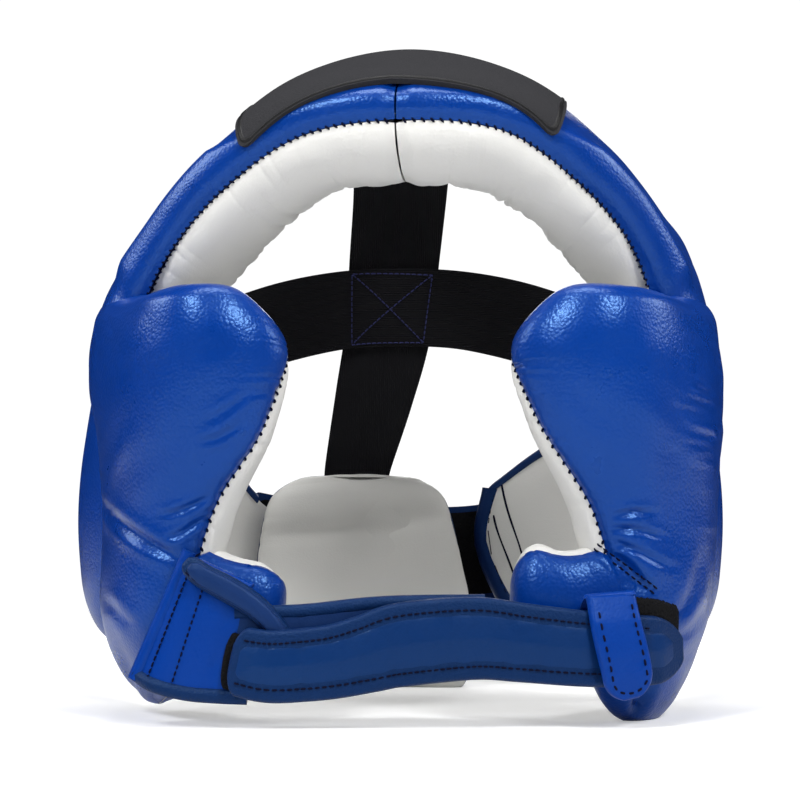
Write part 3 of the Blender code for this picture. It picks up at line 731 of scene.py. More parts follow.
# creases that each pad shows from the front: points (x, z), width, depth and bulge, all in mm
CREASES = {
    "left": [
        ([(65.0, 64.0), (72.0, 65.5), (79.0, 65.0)], 0.9, 0.8, 0.4),
        ([(64.0, 60.0), (73.0, 60.0), (83.0, 57.0)], 0.9, 0.9, 0.4),
        ([(65.0, 56.0), (74.0, 53.0), (86.0, 47.0)], 1.0, 1.0, 0.5),
        ([(66.0, 52.0), (72.0, 47.0), (78.0, 40.0)], 1.1, 0.9, 0.4),
        ([(64.0, 54.0), (70.0, 46.0), (77.0, 39.0)], 2.2, 1.6, 0.4),
        ([(98.0, 56.0), (93.0, 42.0), (85.0, 30.0)], 1.8, 0.9, 0.5),
        ([(100.0, 38.0), (94.0, 30.0), (86.0, 26.0)], 1.8, 1.0, 0.5),
        ([(78.0, 15.0), (74.5, 8.0), (74.0, 1.0)], 1.8, 2.4, 0.8),
        ([(101.0, 112.0), (96.0, 102.0), (90.0, 96.0)], 1.3, 0.7, 0.3),
        ([(102.0, 100.0), (96.0, 90.0), (91.0, 84.0)], 1.3, 0.7, 0.3),
        ([(103.0, 88.0), (98.0, 79.0)], 1.3, 0.6, 0.3),
    ],
    "right": [
        ([(106.0, 74.0), (93.0, 64.0), (80.0, 56.0), (68.0, 50.0)], 1.6, 1.9, 0.5),
        ([(60.0, 70.0), (69.0, 66.0), (76.0, 64.0)], 0.9, 0.8, 0.4),
        ([(61.0, 64.0), (69.0, 59.0), (74.0, 57.0)], 0.9, 0.8, 0.4),
        ([(47.0, 102.0), (55.0, 96.0), (61.0, 92.0)], 1.0, 0.6, 0.3),
        ([(49.0, 93.0), (57.0, 88.0), (64.0, 86.0)], 1.0, 0.6, 0.3),
        ([(98.0, 40.0), (90.0, 33.0), (85.0, 30.0)], 1.6, 0.8, 0.4),
    ],
}
cheek_shells = {}
for side, mirror in SIDES:
    nudge = right_cheek if mirror else left_cheek
    seed = 0.35 if mirror else 0.6
    shell = Skin(cheek, (cheek_first, QUARTER), rows=240, cols=76, mirror=mirror, nudge=nudge)
    shell.lift(swell_into(shell.points, brow_tree, JOIN_REACH))
    shell.swell(34 * MM, 0.6 * MM, seed)
    shell.tuck(shell.near, 1.1 * MM, 2.2 * MM)
    shell.gather(shell.near, 4.2 * MM, 0.9 * MM, 14 * MM, seed, span=(0.14, 0.36))
    shell.gather(shell.near, 6.5 * MM, 0.5 * MM, 7 * MM, seed, span=(0.36, 0.80))
    for line, width, depth, bulge in CREASES[side]:
        shell.fold(MM * np.array(line), width * MM, depth * MM, bulge * MM)
    lining = Skin(cheek, (QUARTER, cheek_last), rows=220, cols=50, mirror=mirror, nudge=nudge)
    lining.swell(26 * MM, 0.5 * MM, seed + 0.2)
    lining.tuck(lining.far, 1.1 * MM, 2.2 * MM)
    lining.gather(lining.far, 7 * MM, 0.6 * MM, 8 * MM, seed + 0.5, span=(0.12, 0.80))
    build_pair("cheek", side, shell, lining, (1.0, 0.9))
    cheek_shells[side] = shell
    whip_stitches(f"cheek_stitches_{side}", shell, lining, (0.10, 0.84), pitch=2.7 * MM)

# --- Ear pads --------------------------------------------------------------------------------------
# Slimmer pads over the ears: blue leather outside, white lining inside and foam between. They are
# sewn edge to edge with the cheek pads in front of them.

ear = Pad(
    MM * np.array([
        [(98.5, -17.0, 147.0), (104.5, 14.0, 150.0), (98.5, 46.0, 147.0)],
        [(100.3, -22.0, 111.0), (113.0, 14.0, 111.0), (99.2, 49.5, 109.0)],
        [(101.0, -22.0, 70.0), (116.5, 14.0, 70.0), (100.5, 50.3, 70.0)],
        [(100.0, -16.0, 27.0), (111.0, 13.0, 22.0), (98.5, 43.0, 29.0)],
    ]),
    [24 * MM] * 4,
    ends=(0.18, 0.18),
    corner=0.45,
)


def left_ear(points):
    """The left pad lies a little closer to the head."""
    return np.zeros_like(points) + np.array([-1.6 * MM, 0.0, 0.0])


for side, mirror in SIDES:
    nudge = None if mirror else left_ear
    shell = Skin(ear, (-QUARTER, QUARTER), rows=110, cols=44, mirror=mirror, nudge=nudge)
    lining = Skin(ear, (QUARTER, 3 * QUARTER), rows=90, cols=36, mirror=mirror)
    build_pair("ear", side, shell, lining, (0.8, 0.7))

# --- Jaw wings -------------------------------------------------------------------------------------
# Short padded wings of blue leather, sewn to the cheek pads and closing in under the chin. The white
# lining rolls over their top edges.

jaw_net = MM * np.array([
    [(68.0, -95.0, 57.5), (69.0, -96.0, 37.0), (69.0, -93.0, 19.0)],
    [(59.0, -100.0, 55.0), (60.0, -100.0, 36.0), (60.0, -97.0, 19.0)],
    [(50.0, -101.0, 54.0), (50.5, -102.0, 36.0), (51.5, -99.0, 19.5)],
    [(42.0, -100.0, 56.0), (41.5, -101.0, 36.0), (43.0, -98.0, 20.0)],
    [(35.0, -97.5, 52.0), (34.0, -99.0, 35.0), (35.5, -96.0, 21.0)],
])
right_jaw_net = jaw_net.copy()
right_jaw_net[:, 0, 2] -= (0, 0.5 * MM, 2.5 * MM, 6.5 * MM, 8.5 * MM)
right_jaw_net[:, :, 0] += np.array([0, 0.5, 1.5, 2.5, 3.5])[:, None] * MM
jaws = {
    side: Pad(net, [20 * MM] * 5, ends=(0.05, 0.30), corner=0.45)
    for side, net in (("left", jaw_net), ("right", right_jaw_net))
}
JAW_SEAM = math.radians(30)
for side, mirror in SIDES:
    seed = 0.15 if mirror else 0.4
    shell = Skin(jaws[side], (JAW_SEAM - QUARTER, QUARTER), rows=90, cols=56, mirror=mirror)
    shell.lift(swell_into(shell.points, cheek_tree, 8 * MM))
    shell.tuck(shell.near, 0.6 * MM, 1.8 * MM)
    shell.gather(shell.near, 7 * MM, 0.45 * MM, 10 * MM, seed, slant=0.8)
    lining = Skin(jaws[side], (QUARTER, 3 * QUARTER + JAW_SEAM), rows=90, cols=40, mirror=mirror)
    lining.tuck(lining.far, 0.8 * MM, 1.8 * MM)
    lining.gather(lining.far, 6 * MM, 0.5 * MM, 8 * MM, seed + 0.5)
    build_pair("jaw", side, shell, lining, (0.6, 0.5))

# --- Rear wings ------------------------------------------------------------------------------------
# Thin padded flaps of blue leather with a white lining, sewn to the ear pads. They run back to the
# closure bands, and the right one is tucked down beside the neck pad.

wing_net = MM * np.array([
    [(96.0, 48.0, 34.0), (99.5, 51.0, 78.0), (98.5, 50.0, 118.0)],
    [(84.0, 73.0, 31.0), (88.0, 77.0, 74.0), (87.0, 76.0, 115.0)],
    [(61.0, 95.5, 28.0), (64.5, 100.0, 68.0), (64.0, 99.0, 105.0)],
    [(43.0, 108.5, 27.0), (34.5, 115.5, 62.0), (34.0, 115.0, 90.0)],
])
WING_DROP = 24 * MM
wing_drop = np.zeros_like(wing_net)
wing_drop[1:, 2, 2] = (-0.006, -WING_DROP, -WING_DROP)
wing_drop[2:, 1, 2] = -WING_DROP / 3
WING_THICK = 7.5 * MM
wing_bound = wing_net.copy()
wing_bound[3] = MM * np.array([(52.5, 101.0, 27.0), (36.0, 112.5, 62.0), (40.0, 111.0, 88.0)])
wings = {
    side: Pad(net, [WING_THICK] * 4, ends=(0.04, 0.05), corner=0.15, power=0.5)
    for side, net in (("left", wing_bound), ("right", wing_net + wing_drop))
}
for side, mirror in SIDES:
    shell = Skin(wings[side], (-QUARTER, QUARTER), rows=110, cols=36, mirror=mirror)
    lining = Skin(wings[side], (QUARTER, 3 * QUARTER), rows=110, cols=36, mirror=mirror)
    build_pair("wing", side, shell, lining, (0.35, 0.35))

# --- Neck pad --------------------------------------------------------------------------------------
# The upright pad behind the neck, in navy leather with a white lining that folds where the pad bends.
# The rear webbing and the closure bands hold it.

NECK_SHIFT = -18 * MM  # the pad lies to the right of the middle
neck = Pad(
    MM * np.array([
        [(33.0, 99.0, 92.5), (0.0, 112.5, 96.0), (-37.0, 95.0, 93.0)],
        [(40.0, 95.0, 76.0), (0.0, 109.0, 77.0), (-44.0, 90.0, 76.0)],
        [(45.0, 89.0, 50.0), (0.0, 102.5, 50.0), (-47.0, 84.0, 50.0)],
        [(48.0, 83.0, 25.0), (0.0, 94.0, 24.0), (-47.0, 78.0, 25.0)],
        [(47.0, 79.0, -6.0), (0.0, 88.0, -7.0), (-46.0, 74.0, -6.0)],
    ]) + np.array([NECK_SHIFT, 0.0, 0.0]),
    [18 * MM] * 5,
    ends=(0.16, 0.12),
    corner=0.35,
    rests=True,
)
NAVY_GLINT = (0.40, 0.66, 1.0)  # the finish throws back the blue of the light most
NAVY = leather(
    "navy_leather",
    ((0.006, 0.024, 0.110), (0.004, 0.018, 0.082)),
    (0.38, 0.50),
    pebbles=1100.0,
    depth=0.6,
    glint=NAVY_GLINT,
)
shell = Skin(neck, (-QUARTER, QUARTER), rows=110, cols=50)
shell.build("neck_shell_leather", NAVY, "navy_leather", ("neck_shell", "neck_foam"), 0.7)
lining = Skin(neck, (QUARTER, 3 * QUARTER), rows=150, cols=64)
FOLD_HEIGHT, FOLD_SLANT = 71.5 * MM, 0.125
height = lining.points[..., 2]
above_fold = height - FOLD_HEIGHT - FOLD_SLANT * (lining.points[..., 0] - NECK_SHIFT)
middle = np.sin(math.pi * ramp(lining.near / (lining.near + lining.far))) ** 0.5
lining.lift(9.0 * MM * eased(-above_fold / 0.045) * ramp(height / 0.02) * middle)
lining.lift(3.0 * MM * np.sin(math.pi * ramp(above_fold / 0.022)) * middle)
lining.lift(-2.0 * MM * bell(above_fold / (5 * MM)) * middle)
lining.swell(30 * MM, 0.4 * MM, 0.2)
lining.gather(lining.near, 11 * MM, 0.5 * MM, 10 * MM, 0.7)
lining.gather(lining.far, 12 * MM, 0.5 * MM, 10 * MM, 0.1)
lining.build("neck_lining_leather", WHITE, "lining_leather", ("neck_lining",), 0.7)

# --- Forehead patch --------------------------------------------------------------------------------
# A plain charcoal patch sewn flat on the brow, with a rolled black binding round its edge. Nothing
# is printed on it.

RIB_PITCH = 0.95 * MM
WAVE_LENGTH = 0.314  # length of one wave of the wave texture at a scale of 1


def weave_group():
    """Cloth: Height for a bump, from a fine grain and from ribs that repeat along X or Z."""
    group, given, result = new_group("cloth_weave", ("Grain", "Ribs X", "Ribs Z"), ("Height",))
    links = group.links
    place, grain = add_node(group, "TexCoord"), add_node(group, "TexNoise", Detail=3.0)
    links.new(place.outputs["Object"], grain.inputs["Vector"])
    links.new(given.outputs["Grain"], grain.inputs["Scale"])
    height = grain.outputs["Fac"]
    for axis in "XZ":
        ribs, both = add_node(group, "TexWave", Scale=WAVE_LENGTH / RIB_PITCH), add_node(group, "Math")
        ribs.bands_direction = axis
        both.operation = "MULTIPLY_ADD"
        links.new(place.outputs["Object"], ribs.inputs["Vector"])
        links.new(ribs.outputs["Fac"], both.inputs[0])
        links.new(given.outputs[f"Ribs {axis}"], both.inputs[1])
        links.new(height, both.inputs[2])
        height = both.outputs[0]
    links.new(height, result.inputs["Height"])
    return group


CLOTH_WEAVE = weave_group()


def cloth(name, colour, roughness, shine, grain, depth, ribs=None):
    """Woven or textured material; grain is the size of its grain, ribs the axis they repeat along."""
    mat = plain_material(name, colour, roughness, shine)
    tree = mat.node_tree
    along_x, along_z = float(ribs == "X"), float(ribs == "Z")
    weave = place_group(tree, CLOTH_WEAVE, Grain=1 / grain, Ribs_X=along_x, Ribs_Z=along_z)
    raise_surface(tree, weave.outputs["Height"], depth)
    return mat


def solid_between(name, front, back, mat):
    """Closed piece between two grids of one shape."""
    rows, cols = front.shape[:2]
    points = np.concatenate([front.reshape(-1, 3), back.reshape(-1, 3)])
    start = rows * cols
    faces = quads(rows, cols) + quads(rows, cols, start)
    for i in range(rows - 1):
        for j in (0, cols - 1):
            a = i * cols + j
            faces.append((a, start + a, start + a + cols, a + cols))
    for i in (0, rows - 1):
        for j in range(cols - 1):
            a = i * cols + j
            faces.append((a, a + 1, start + a + 1, start + a))
    return mesh_object(name, points, faces, mat)


def roll(name, path, side, up, across, high, mat, turns, closed=False):
    """Rolled edge along a path: a flattened tube, across wide along side and high along up."""
    path = np.array(path, float)
    count = len(path)
    turn = np.arange(turns) * 2 * math.pi / turns
    wide, tall = np.broadcast_to(across, count), np.broadcast_to(high, count)
    points = (
        path[:, None]
        + side[:, None] * (np.cos(turn)[None, :, None] * wide[:, None, None] / 2)
        + up[:, None] * (np.sin(turn)[None, :, None] * tall[:, None, None] / 2)
    )
    faces = quads(count, turns, wrap=True)
    last = (count - 1) * turns
    if closed:
        faces += [(last + j, last + (j + 1) % turns, (j + 1) % turns, j) for j in range(turns)]
    else:
        faces += [list(reversed(range(turns))), [last + j for j in range(turns)]]
    piece = mesh_object(name, points.reshape(-1, 3), faces, mat)
    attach(piece, "headgear")
    return piece


PATCH = cloth("patch_leather", (0.034, 0.034, 0.037), 0.80, 0.0, grain=0.7 * MM, depth=0.35)
BINDING = leather(
    "black_binding", ((0.004, 0.004, 0.005), (0.003, 0.003, 0.004)), (0.40, 0.55), pebbles=1500.0
)
PATCH_REACH = 0.158  # share of the brow's length that the patch covers to each side
PATCH_FRONT, PATCH_BACK = -0.99, 0.40  # where it lies round the brow's section
PATCH_DIP = 0.40  # its front corners reach this much lower round the section
PATCH_CORNER = 0.08
PATCH_TOP, PATCH_UNDER = 2.2 * MM, 0.3 * MM  # its faces above the brow
RIM_WIDTH, RIM_HEIGHT = 2.4 * MM, 2.2 * MM
RIM_SHARE = 0.985  # how far out on the patch the rim starts


def patch_frame(x, y):
    """Place on the patch for x along the brow and y front to back, both in -1..1."""
    s = 0.495 + PATCH_REACH * x * (1 - 0.05 * (y + 1))
    front = PATCH_FRONT - PATCH_DIP * np.abs(x) ** (1.25 + 0.25 * x)
    return brow.surface(s, front + (PATCH_BACK - front) * (y + 1) / 2)


def rounded(x, y):
    """Pull the corners of the square -1..1 in to round ones."""
    corner = PATCH_CORNER
    dx = np.clip(np.abs(x) - (1 - corner), 0, None)
    dy = np.clip(np.abs(y) - (1 - 2 * corner), 0, None) / 2
    reach = np.maximum(np.maximum(dx, dy), 1e-9) / np.maximum(np.hypot(dx, dy), 1e-9)
    near = (dx > 0) & (dy > 0)
    x = np.where(near, np.sign(x) * (1 - corner + dx * reach), x)
    y = np.where(near, np.sign(y) * (1 - 2 * corner + 2 * dy * reach), y)
    return x, y


field = patch_frame(*rounded(*np.meshgrid(np.linspace(-1, 1, 71), np.linspace(-1, 1, 41), indexing="ij")))
up = facing(field)
patch = solid_between("patch_field", field + up * PATCH_TOP, field + up * PATCH_UNDER, PATCH)
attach(patch, "headgear")
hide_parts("patch")

long_side, short_side = np.linspace(-1, 1, 60)[:-1], np.linspace(-1, 1, 34)[:-1]
long_one, short_one = np.ones_like(long_side), np.ones_like(short_side)
edge_x = np.concatenate([long_side, short_one, -long_side, -short_one])
edge_y = np.concatenate([-long_one, short_side, long_one, -short_side])
edge_x, edge_y = (RIM_SHARE * edge for edge in rounded(edge_x, edge_y))
outline = patch_frame(edge_x, edge_y)
inward = unit(patch_frame(edge_x * 0.97, edge_y * 0.95) - outline)
tangent = np.roll(outline, -1, axis=0) - np.roll(outline, 1, axis=0)
up = unit(np.cross(tangent, inward))
up *= np.sign((up * (outline - np.array([0.0, 0.0, 0.1]))).sum(axis=1))[:, None]
rim_path = outline + inward * 1.2 * MM + up * 1.5 * MM
rim = roll(
    "patch_rim", rim_path, inward, up, RIM_WIDTH, RIM_HEIGHT, BINDING,
    closed=True, turns=14,
)
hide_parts("patch_binding")

# --- Neck pad binding ------------------------------------------------------------------------------
# Near-black tape round the lower front edge of the neck pad, sewn on where its lining meets the
# leather back.

TAPE_STEPS = 70
TAPE_WIDTH, TAPE_HEIGHT = 4.0 * MM, 2.4 * MM


def square_to(path, other):
    """Unit directions at right angles to a path and to other directions."""
    return unit(np.cross(np.gradient(path, axis=0), other))


def neck_line(s):
    """Line round the lined side of the neck pad at a share of its height."""
    return neck.surface(np.full(TAPE_STEPS, s), np.linspace(QUARTER + 0.2, 3 * QUARTER - 0.2, TAPE_STEPS))


tape_path = neck_line(0.972)
tape_path[:, 2] = np.maximum(tape_path[:, 2], 2.2 * MM)
tape_side = unit(neck_line(0.95) - neck_line(0.90))
tape_up = square_to(tape_path, tape_side)
tape_up *= -np.sign(tape_up[TAPE_STEPS // 2, 1])
tape_path = tape_path + tape_up * 0.6 * MM
roll(
    "neck_binding_tape", tape_path, tape_side, tape_up, TAPE_WIDTH, TAPE_HEIGHT, BINDING,
    turns=12,
)

# --- Elastic webbing -------------------------------------------------------------------------------
# Black ribbed elastic: a crown strap from the brow to the neck pad, over a side strap that joins
# the two rear wings. They are sewn together with a boxed cross in navy thread.

WEB_BLACK = (0.0035, 0.0035, 0.0050)
BLACK = cloth("webbing_ribs_along", WEB_BLACK, 0.80, 0.15, grain=0.35 * MM, depth=0.45, ribs="X")
BLACK_ACROSS = cloth("webbing_ribs_across", WEB_BLACK, 0.80, 0.15, grain=0.35 * MM, depth=0.45, ribs="Z")
UNEVEN_SEED = 0.3
ROUNDING = 1.4 * MM  # how far in from the edge a strap starts to thin out


class Strip:
    """Flat strap: line is the middle of its near face, sheet the direction of its width."""

    def __init__(self, line, sheet, width, mirror=False):
        count = len(line)
        share = weights(count, np.linspace(0, 1, 240))
        path = share @ np.array(line, float)
        sheet = share @ np.broadcast_to(np.array(sheet, float), (count, 3))
        self.half = share @ np.broadcast_to(np.array(width, float), count) / 2
        if mirror:
            path, sheet = flip(path), flip(sheet)
        self.path = path
        self.run = run_along(path)
        self.length = self.run[-1]
        tangent = unit(np.gradient(path, axis=0))
        self.sheet = unit(sheet - tangent * (sheet * tangent).sum(axis=1)[:, None])
        self.up = np.cross(tangent, self.sheet) * (-1 if mirror else 1)

    def read(self, values, x):
        values = values.reshape(len(values), -1)
        return np.stack([np.interp(x, self.run, values[:, k]) for k in range(values.shape[1])], axis=-1)

    def at(self, x, y, lift=0.0):
        """Points x along the strap, y across it from its middle and lift above its near face."""
        x, y, lift = np.broadcast_arrays(np.asarray(x, float), y, lift)
        up = self.read(self.up, x)
        return self.read(self.path, x) + self.read(self.sheet, x) * y[..., None] + up * lift[..., None]

    def half_at(self, x):
        return self.read(self.half, np.asarray(x, float))[..., 0]

    def build(self, name, mat, slot, nodes, thick, lift=0.0, inset=0.0, ends=(0.0, 0.0), trim=(0.0, 0.0),
              steps=60, cols=15, puff=0.0, ribs=0.0, wave=0.0, fray=0.0, body="headgear"):
        """A layer of the strap: inset narrows it, trim shortens its ends and ends rounds them off.

        puff swells its middle, wave and fray make its face and its edges uneven, and ribs is the
        pitch of ribs across it.
        """
        q = np.linspace(0, 1, steps)
        if max(ends) > 0 or puff > 0:
            q = 0.5 * q + 0.5 * (0.5 - 0.5 * np.cos(math.pi * q))
        x = trim[0] + (self.length - trim[0] - trim[1]) * q
        from_ends = (x - trim[0], self.length - trim[1] - x)
        half = self.half_at(x) - inset
        for end, away in zip(ends, from_ends):
            if end > 0:
                half = half * (0.08 + 0.92 * quarter_round(away / end))
        share = 0.4 * np.linspace(-1, 1, cols) + 0.6 * np.sin(np.linspace(-0.5, 0.5, cols) * math.pi)
        y = half[:, None] * share
        edge = np.minimum(half[:, None] - np.abs(y), np.minimum(*from_ends)[:, None])
        x = x[:, None] + 0 * y
        if fray > 0:
            y = y + fray * ripple(x / (1.3 * MM), UNEVEN_SEED) * np.abs(share) ** 8
        rounding = ramp(edge / min(thick, ROUNDING))
        uneven = ripple(x / (9 * MM), UNEVEN_SEED) * (0.5 + 0.5 * ripple(y / (11 * MM), UNEVEN_SEED + 0.4))
        top = thick * (0.2 + 0.8 * quarter_round(rounding)) + puff * np.sqrt(ramp(edge / half.max()))
        top = top + wave * uneven
        if ribs > 0:
            top = top + 0.10 * MM * np.sin(2 * math.pi * x / ribs) * rounding
        piece = solid_between(name, self.at(x, y, lift + top), self.at(x, y, lift), mat)
        if body:
            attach(piece, body)
        if nodes:
            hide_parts(*nodes)
        return piece

    def stitches(self, name, places, lift, pitch=2.6 * MM, stitch=1.9 * MM, radius=0.30 * MM,
                 mat=THREAD, body="headgear"):
        """Rows of stitches, each along a line of (x, y) places on the strap."""
        runs = []
        for row in places:
            row = np.array(row, float)
            run = run_along(row)
            for k in range(int(run[-1] / pitch)):
                span = pitch * (k + 0.5) + stitch * np.array([-0.5, -0.25, 0.25, 0.5])
                xs, ys = np.interp(span, run, row[:, 0]), np.interp(span, run, row[:, 1])
                runs.append(self.at(xs, ys, lift + radius * np.array([-1.2, 0.35, 0.35, -1.2])))
        return threads(name, runs, radius, mat, body)


WEB_WIDTH, WEB_THICK = 38 * MM, 1.6 * MM
crown = Strip(
    [
        (0.0000, -0.0156, 0.2281),
        (0.0000, 0.0220, 0.2250),
        (-0.0010, 0.0540, 0.2130),
        (-0.0035, 0.0805, 0.1915),
        (-0.0065, 0.0989, 0.1620),
        (-0.0130, 0.1110, 0.1330),
        (-0.0205, 0.1180, 0.1020),
        (-0.0215, 0.1183, 0.0930),
    ],
    [(-1.0, 0.0, 0.0)] * 5 + [(-1.0, -0.12, 0.0), (-1.0, -0.25, 0.0), (-1.0, -0.25, 0.0)],
    (0.041, 0.041, 0.041, 0.041, 0.040, 0.037, 0.032, 0.031),
)
side_line = np.array([
    (0.0985, 0.0300, 0.1290),
    (0.0990, 0.0489, 0.1345),
    (0.0900, 0.0690, 0.1450),
    (0.0620, 0.0840, 0.1605),
    (0.0300, 0.0885, 0.1690),
    (0.0000, 0.0900, 0.1710),
])
side_sheet = np.array([
    (0.0, 0.0, 1.0),
    (0.0, -0.05, 1.0),
    (-0.10, -0.20, 0.97),
    (-0.15, -0.38, 0.90),
    (-0.08, -0.50, 0.86),
    (0.0, -0.52, 0.85),
])
side_web = Strip(
    np.concatenate([side_line, flip(side_line)[-2::-1]]),
    np.concatenate([side_sheet, flip(side_sheet)[-2::-1]]),
    WEB_WIDTH,
)
look = dict(steps=420, cols=13, ribs=1.9 * MM)
crown.build("crown_webbing_elastic", BLACK, "webbing", ("crown_webbing",), WEB_THICK, **look)
side_web.build("side_webbing_elastic", BLACK_ACROSS, "webbing", ("side_webbing",), WEB_THICK, **look)
crossing = side_web.length / 2 + 5.5 * MM
corners = MM * np.array([(16.5, 17.2), (-19.0, 16.2), (-15.5, -17.0), (19.0, -17.2)]) + (crossing, 0.0)
rows = [corners[[0, 1, 2, 3, 0]], corners[::2], corners[1::2]]
WEB_THREAD = plain_material("webbing_thread", (0.010, 0.014, 0.085), 0.8)
side_web.stitches("webbing_stitches", rows, -0.1 * MM, radius=0.36 * MM, mat=WEB_THREAD)

# --- Rear wing bindings and closure bands ----------------------------------------------------------
# Navy leather binding is rolled over the top edge of each rear wing. Two navy leather bands start at
# a strip sewn behind the neck pad; each hooks to the back of a wing with its pile and peels off it.

PILE = cloth("pile", (0.006, 0.006, 0.007), 0.95, 0.1, grain=0.9 * MM, depth=1.0)
WING_ROLL, WING_ROLL_HIGH = WING_THICK + 1.6 * MM, 5.5 * MM
for name, mirror, last in (("left", False, 0.985), ("right", True, 0.62)):
    s, wing = np.linspace(0.16, last, 60), wings[name]
    edge, outer, inner = (wing.surface(s, np.full_like(s, phi)) for phi in (QUARTER, 0.0, math.pi))
    away = unit(edge - 0.5 * (outer + inner))
    through = square_to(edge, away)
    path = edge - away * 1.0 * MM
    if mirror:
        path, away, through = flip(path), flip(away), flip(through)
    piece = roll(
        f"wing_binding_{name}_roll", path, through, away, WING_ROLL, WING_ROLL_HIGH, NAVY,
        turns=16,
    )
    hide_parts(f"wing_binding_{name}")

END_ROLL, END_ROLL_HIGH = 9.5 * MM, WING_THICK + 1.5 * MM
wing = wings["left"]
turn = np.linspace(-1.35, 1.5, 60)
end_s = np.full_like(turn, 0.97)
outer, inner = wing.surface(end_s, turn), wing.surface(end_s, math.pi - turn)
path = 0.5 * (outer + inner)
through = -square_to(path, square_to(path, outer - inner))
away = square_to(path, through)
roll("wing_end_binding", path, away, through, END_ROLL, END_ROLL_HIGH, NAVY, turns=18)
groove = wing.surface(np.full(40, 0.935), math.pi - np.linspace(-1.2, 1.35, 40))
groove = groove + (inner[:1] - outer[:1]) * 0.12
runs = [groove[k : k + 2] for k in range(0, 38, 2)]
threads("wing_end_stitches", runs, 0.4 * MM, THREAD)
quilting = []
for s_top, s_low, top in ((0.90, 0.70, 0.97), (0.915, 0.80, 0.72)):
    across = 2 * np.linspace(top, 0.10, 30) - 1
    turn = math.pi - np.arcsin(np.sign(across) * across**2)
    quilting.append(wing.surface(np.linspace(s_top, s_low, 30), turn))
threads("wing_quilting", quilting, 0.55 * MM, THREAD)

BAND = [
    (0.0030, 0.1230, 0.0590),
    (0.0200, 0.1240, 0.0590),
    (0.0365, 0.1230, 0.0600),
    (0.0565, 0.1132, 0.0630),
    (0.0745, 0.0997, 0.0660),
]
DOWN = (0.0, 0.0, -1.0)
BAND_WIDTH = 45 * MM
BAND_FACE = leather(
    "band_leather",
    ((0.003, 0.026, 0.120), (0.002, 0.018, 0.086)),
    (0.30, 0.44),
    pebbles=1000.0,
    depth=0.6,
    glint=NAVY_GLINT,
)
for name, mirror in SIDES:
    band = Strip(BAND, DOWN, BAND_WIDTH, mirror=mirror)
    body = f"rear_band_{name}"
    look = dict(body=None, ends=(0.0, 8 * MM))
    row_y = BAND_WIDTH / 2 - 3 * MM
    rows = [[(2 * MM, y), (band.length - 9 * MM, y)] for y in (-row_y, row_y)]
    pieces = [
        band.build(f"{body}_hem", NAVY, "navy_leather", (body,), 2.2 * MM, **look),
        band.build(
            f"{body}_face", BAND_FACE, "navy_leather", (), 0.9 * MM,
            lift=1.7 * MM, inset=4.5 * MM, puff=0.5 * MM, trim=(0.0, 4.5 * MM), **look,
        ),
        band.build(
            f"{body}_hooks", PILE, "pile", (f"rear_band_pile_{name}",), 1.1 * MM,
            lift=-1.4 * MM, inset=3 * MM, trim=(0.0, 3 * MM), **look,
        ),
        band.stitches(f"{body}_stitches", rows, 2.2 * MM, body=None),
    ]
    for piece in pieces:
        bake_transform(piece)
anchor = Strip([(x * MM, 0.1163, 0.0590) for x in (-7.0, 0.0, 7.0)], DOWN, BAND_WIDTH)
anchor.build("band_anchor_strip", NAVY, "navy_leather", ("band_anchor",), 5 * MM, steps=12)

# --- Anchor panel, arm and under strap -------------------------------------------------------------
# On the wearer's right a blue leather panel is sewn to the cheek, folded at its outer edge. A bound
# arm runs over it to the padded under strap, and a strip of pile on it takes the chin strap's hook.

UP = (0.0, 0.0, 1.0)
SOFT_BLUE = leather(
    "panel_leather",
    ((0.0, 0.037, 0.275), (0.0, 0.026, 0.205)),
    (0.32, 0.44),
    pebbles=1000.0,
    depth=0.6,
    glint=NAVY_GLINT,
)
TRIM = leather(
    "trim_leather",
    ((0.002, 0.018, 0.088), (0.001, 0.013, 0.062)),
    (0.40, 0.58),
    pebbles=1400.0,
    bump=0.2,
    glint=NAVY_GLINT,
)
CHIN_FRONT = -0.1160  # where the panel and the under strap lie
PANEL_FACE = CHIN_FRONT - 2.9 * MM  # and what is sewn on the panel
STRAP_FACE = CHIN_FRONT - 5.9 * MM  # and the chin strap over that
TAB_FACE = STRAP_FACE - 3.3 * MM  # and the keeper tab over the strap
panel = Strip(
    [
        (-0.0740, CHIN_FRONT + 0.0045, 0.0334),
        (-0.0690, CHIN_FRONT + 0.0012, 0.0312),
        (-0.0610, CHIN_FRONT + 0.0002, 0.0286),
        (-0.0500, CHIN_FRONT, 0.0258),
    ],
    [(0.26, 0.05, 0.97), (0.22, 0.03, 0.98), (0.12, 0.0, 0.99), (0.03, 0.0, 1.0)],
    (0.0405, 0.0415, 0.0400, 0.0360),
)
panel.build(
    "anchor_panel_leather", SOFT_BLUE, "blue_leather", ("anchor_panel",), 2.0 * MM,
    cols=41, puff=0.6 * MM, wave=0.35 * MM, fray=0.3 * MM,
)
fold_path = panel.at(np.full(40, 0.6 * MM), MM * np.linspace(-20.8, 21.4, 40), 1.3 * MM)
fold_up = panel.read(panel.up, np.full(40, 2.0 * MM))
fold_side = square_to(fold_path, fold_up)
FOLD_WIDTH, FOLD_HIGH = 5.0 * MM, 4.0 * MM
roll(
    "anchor_panel_fold", fold_path, fold_side, fold_up, FOLD_WIDTH, FOLD_HIGH, SOFT_BLUE,
    turns=14,
)
rows = MM * np.array([[(4.8, 19.0), (5.2, -19.0)], [(11.0, 13.0), (11.2, -18.0)]])
panel.stitches("anchor_panel_stitches", rows, 2.5 * MM, pitch=2.0 * MM, stitch=1.5 * MM)

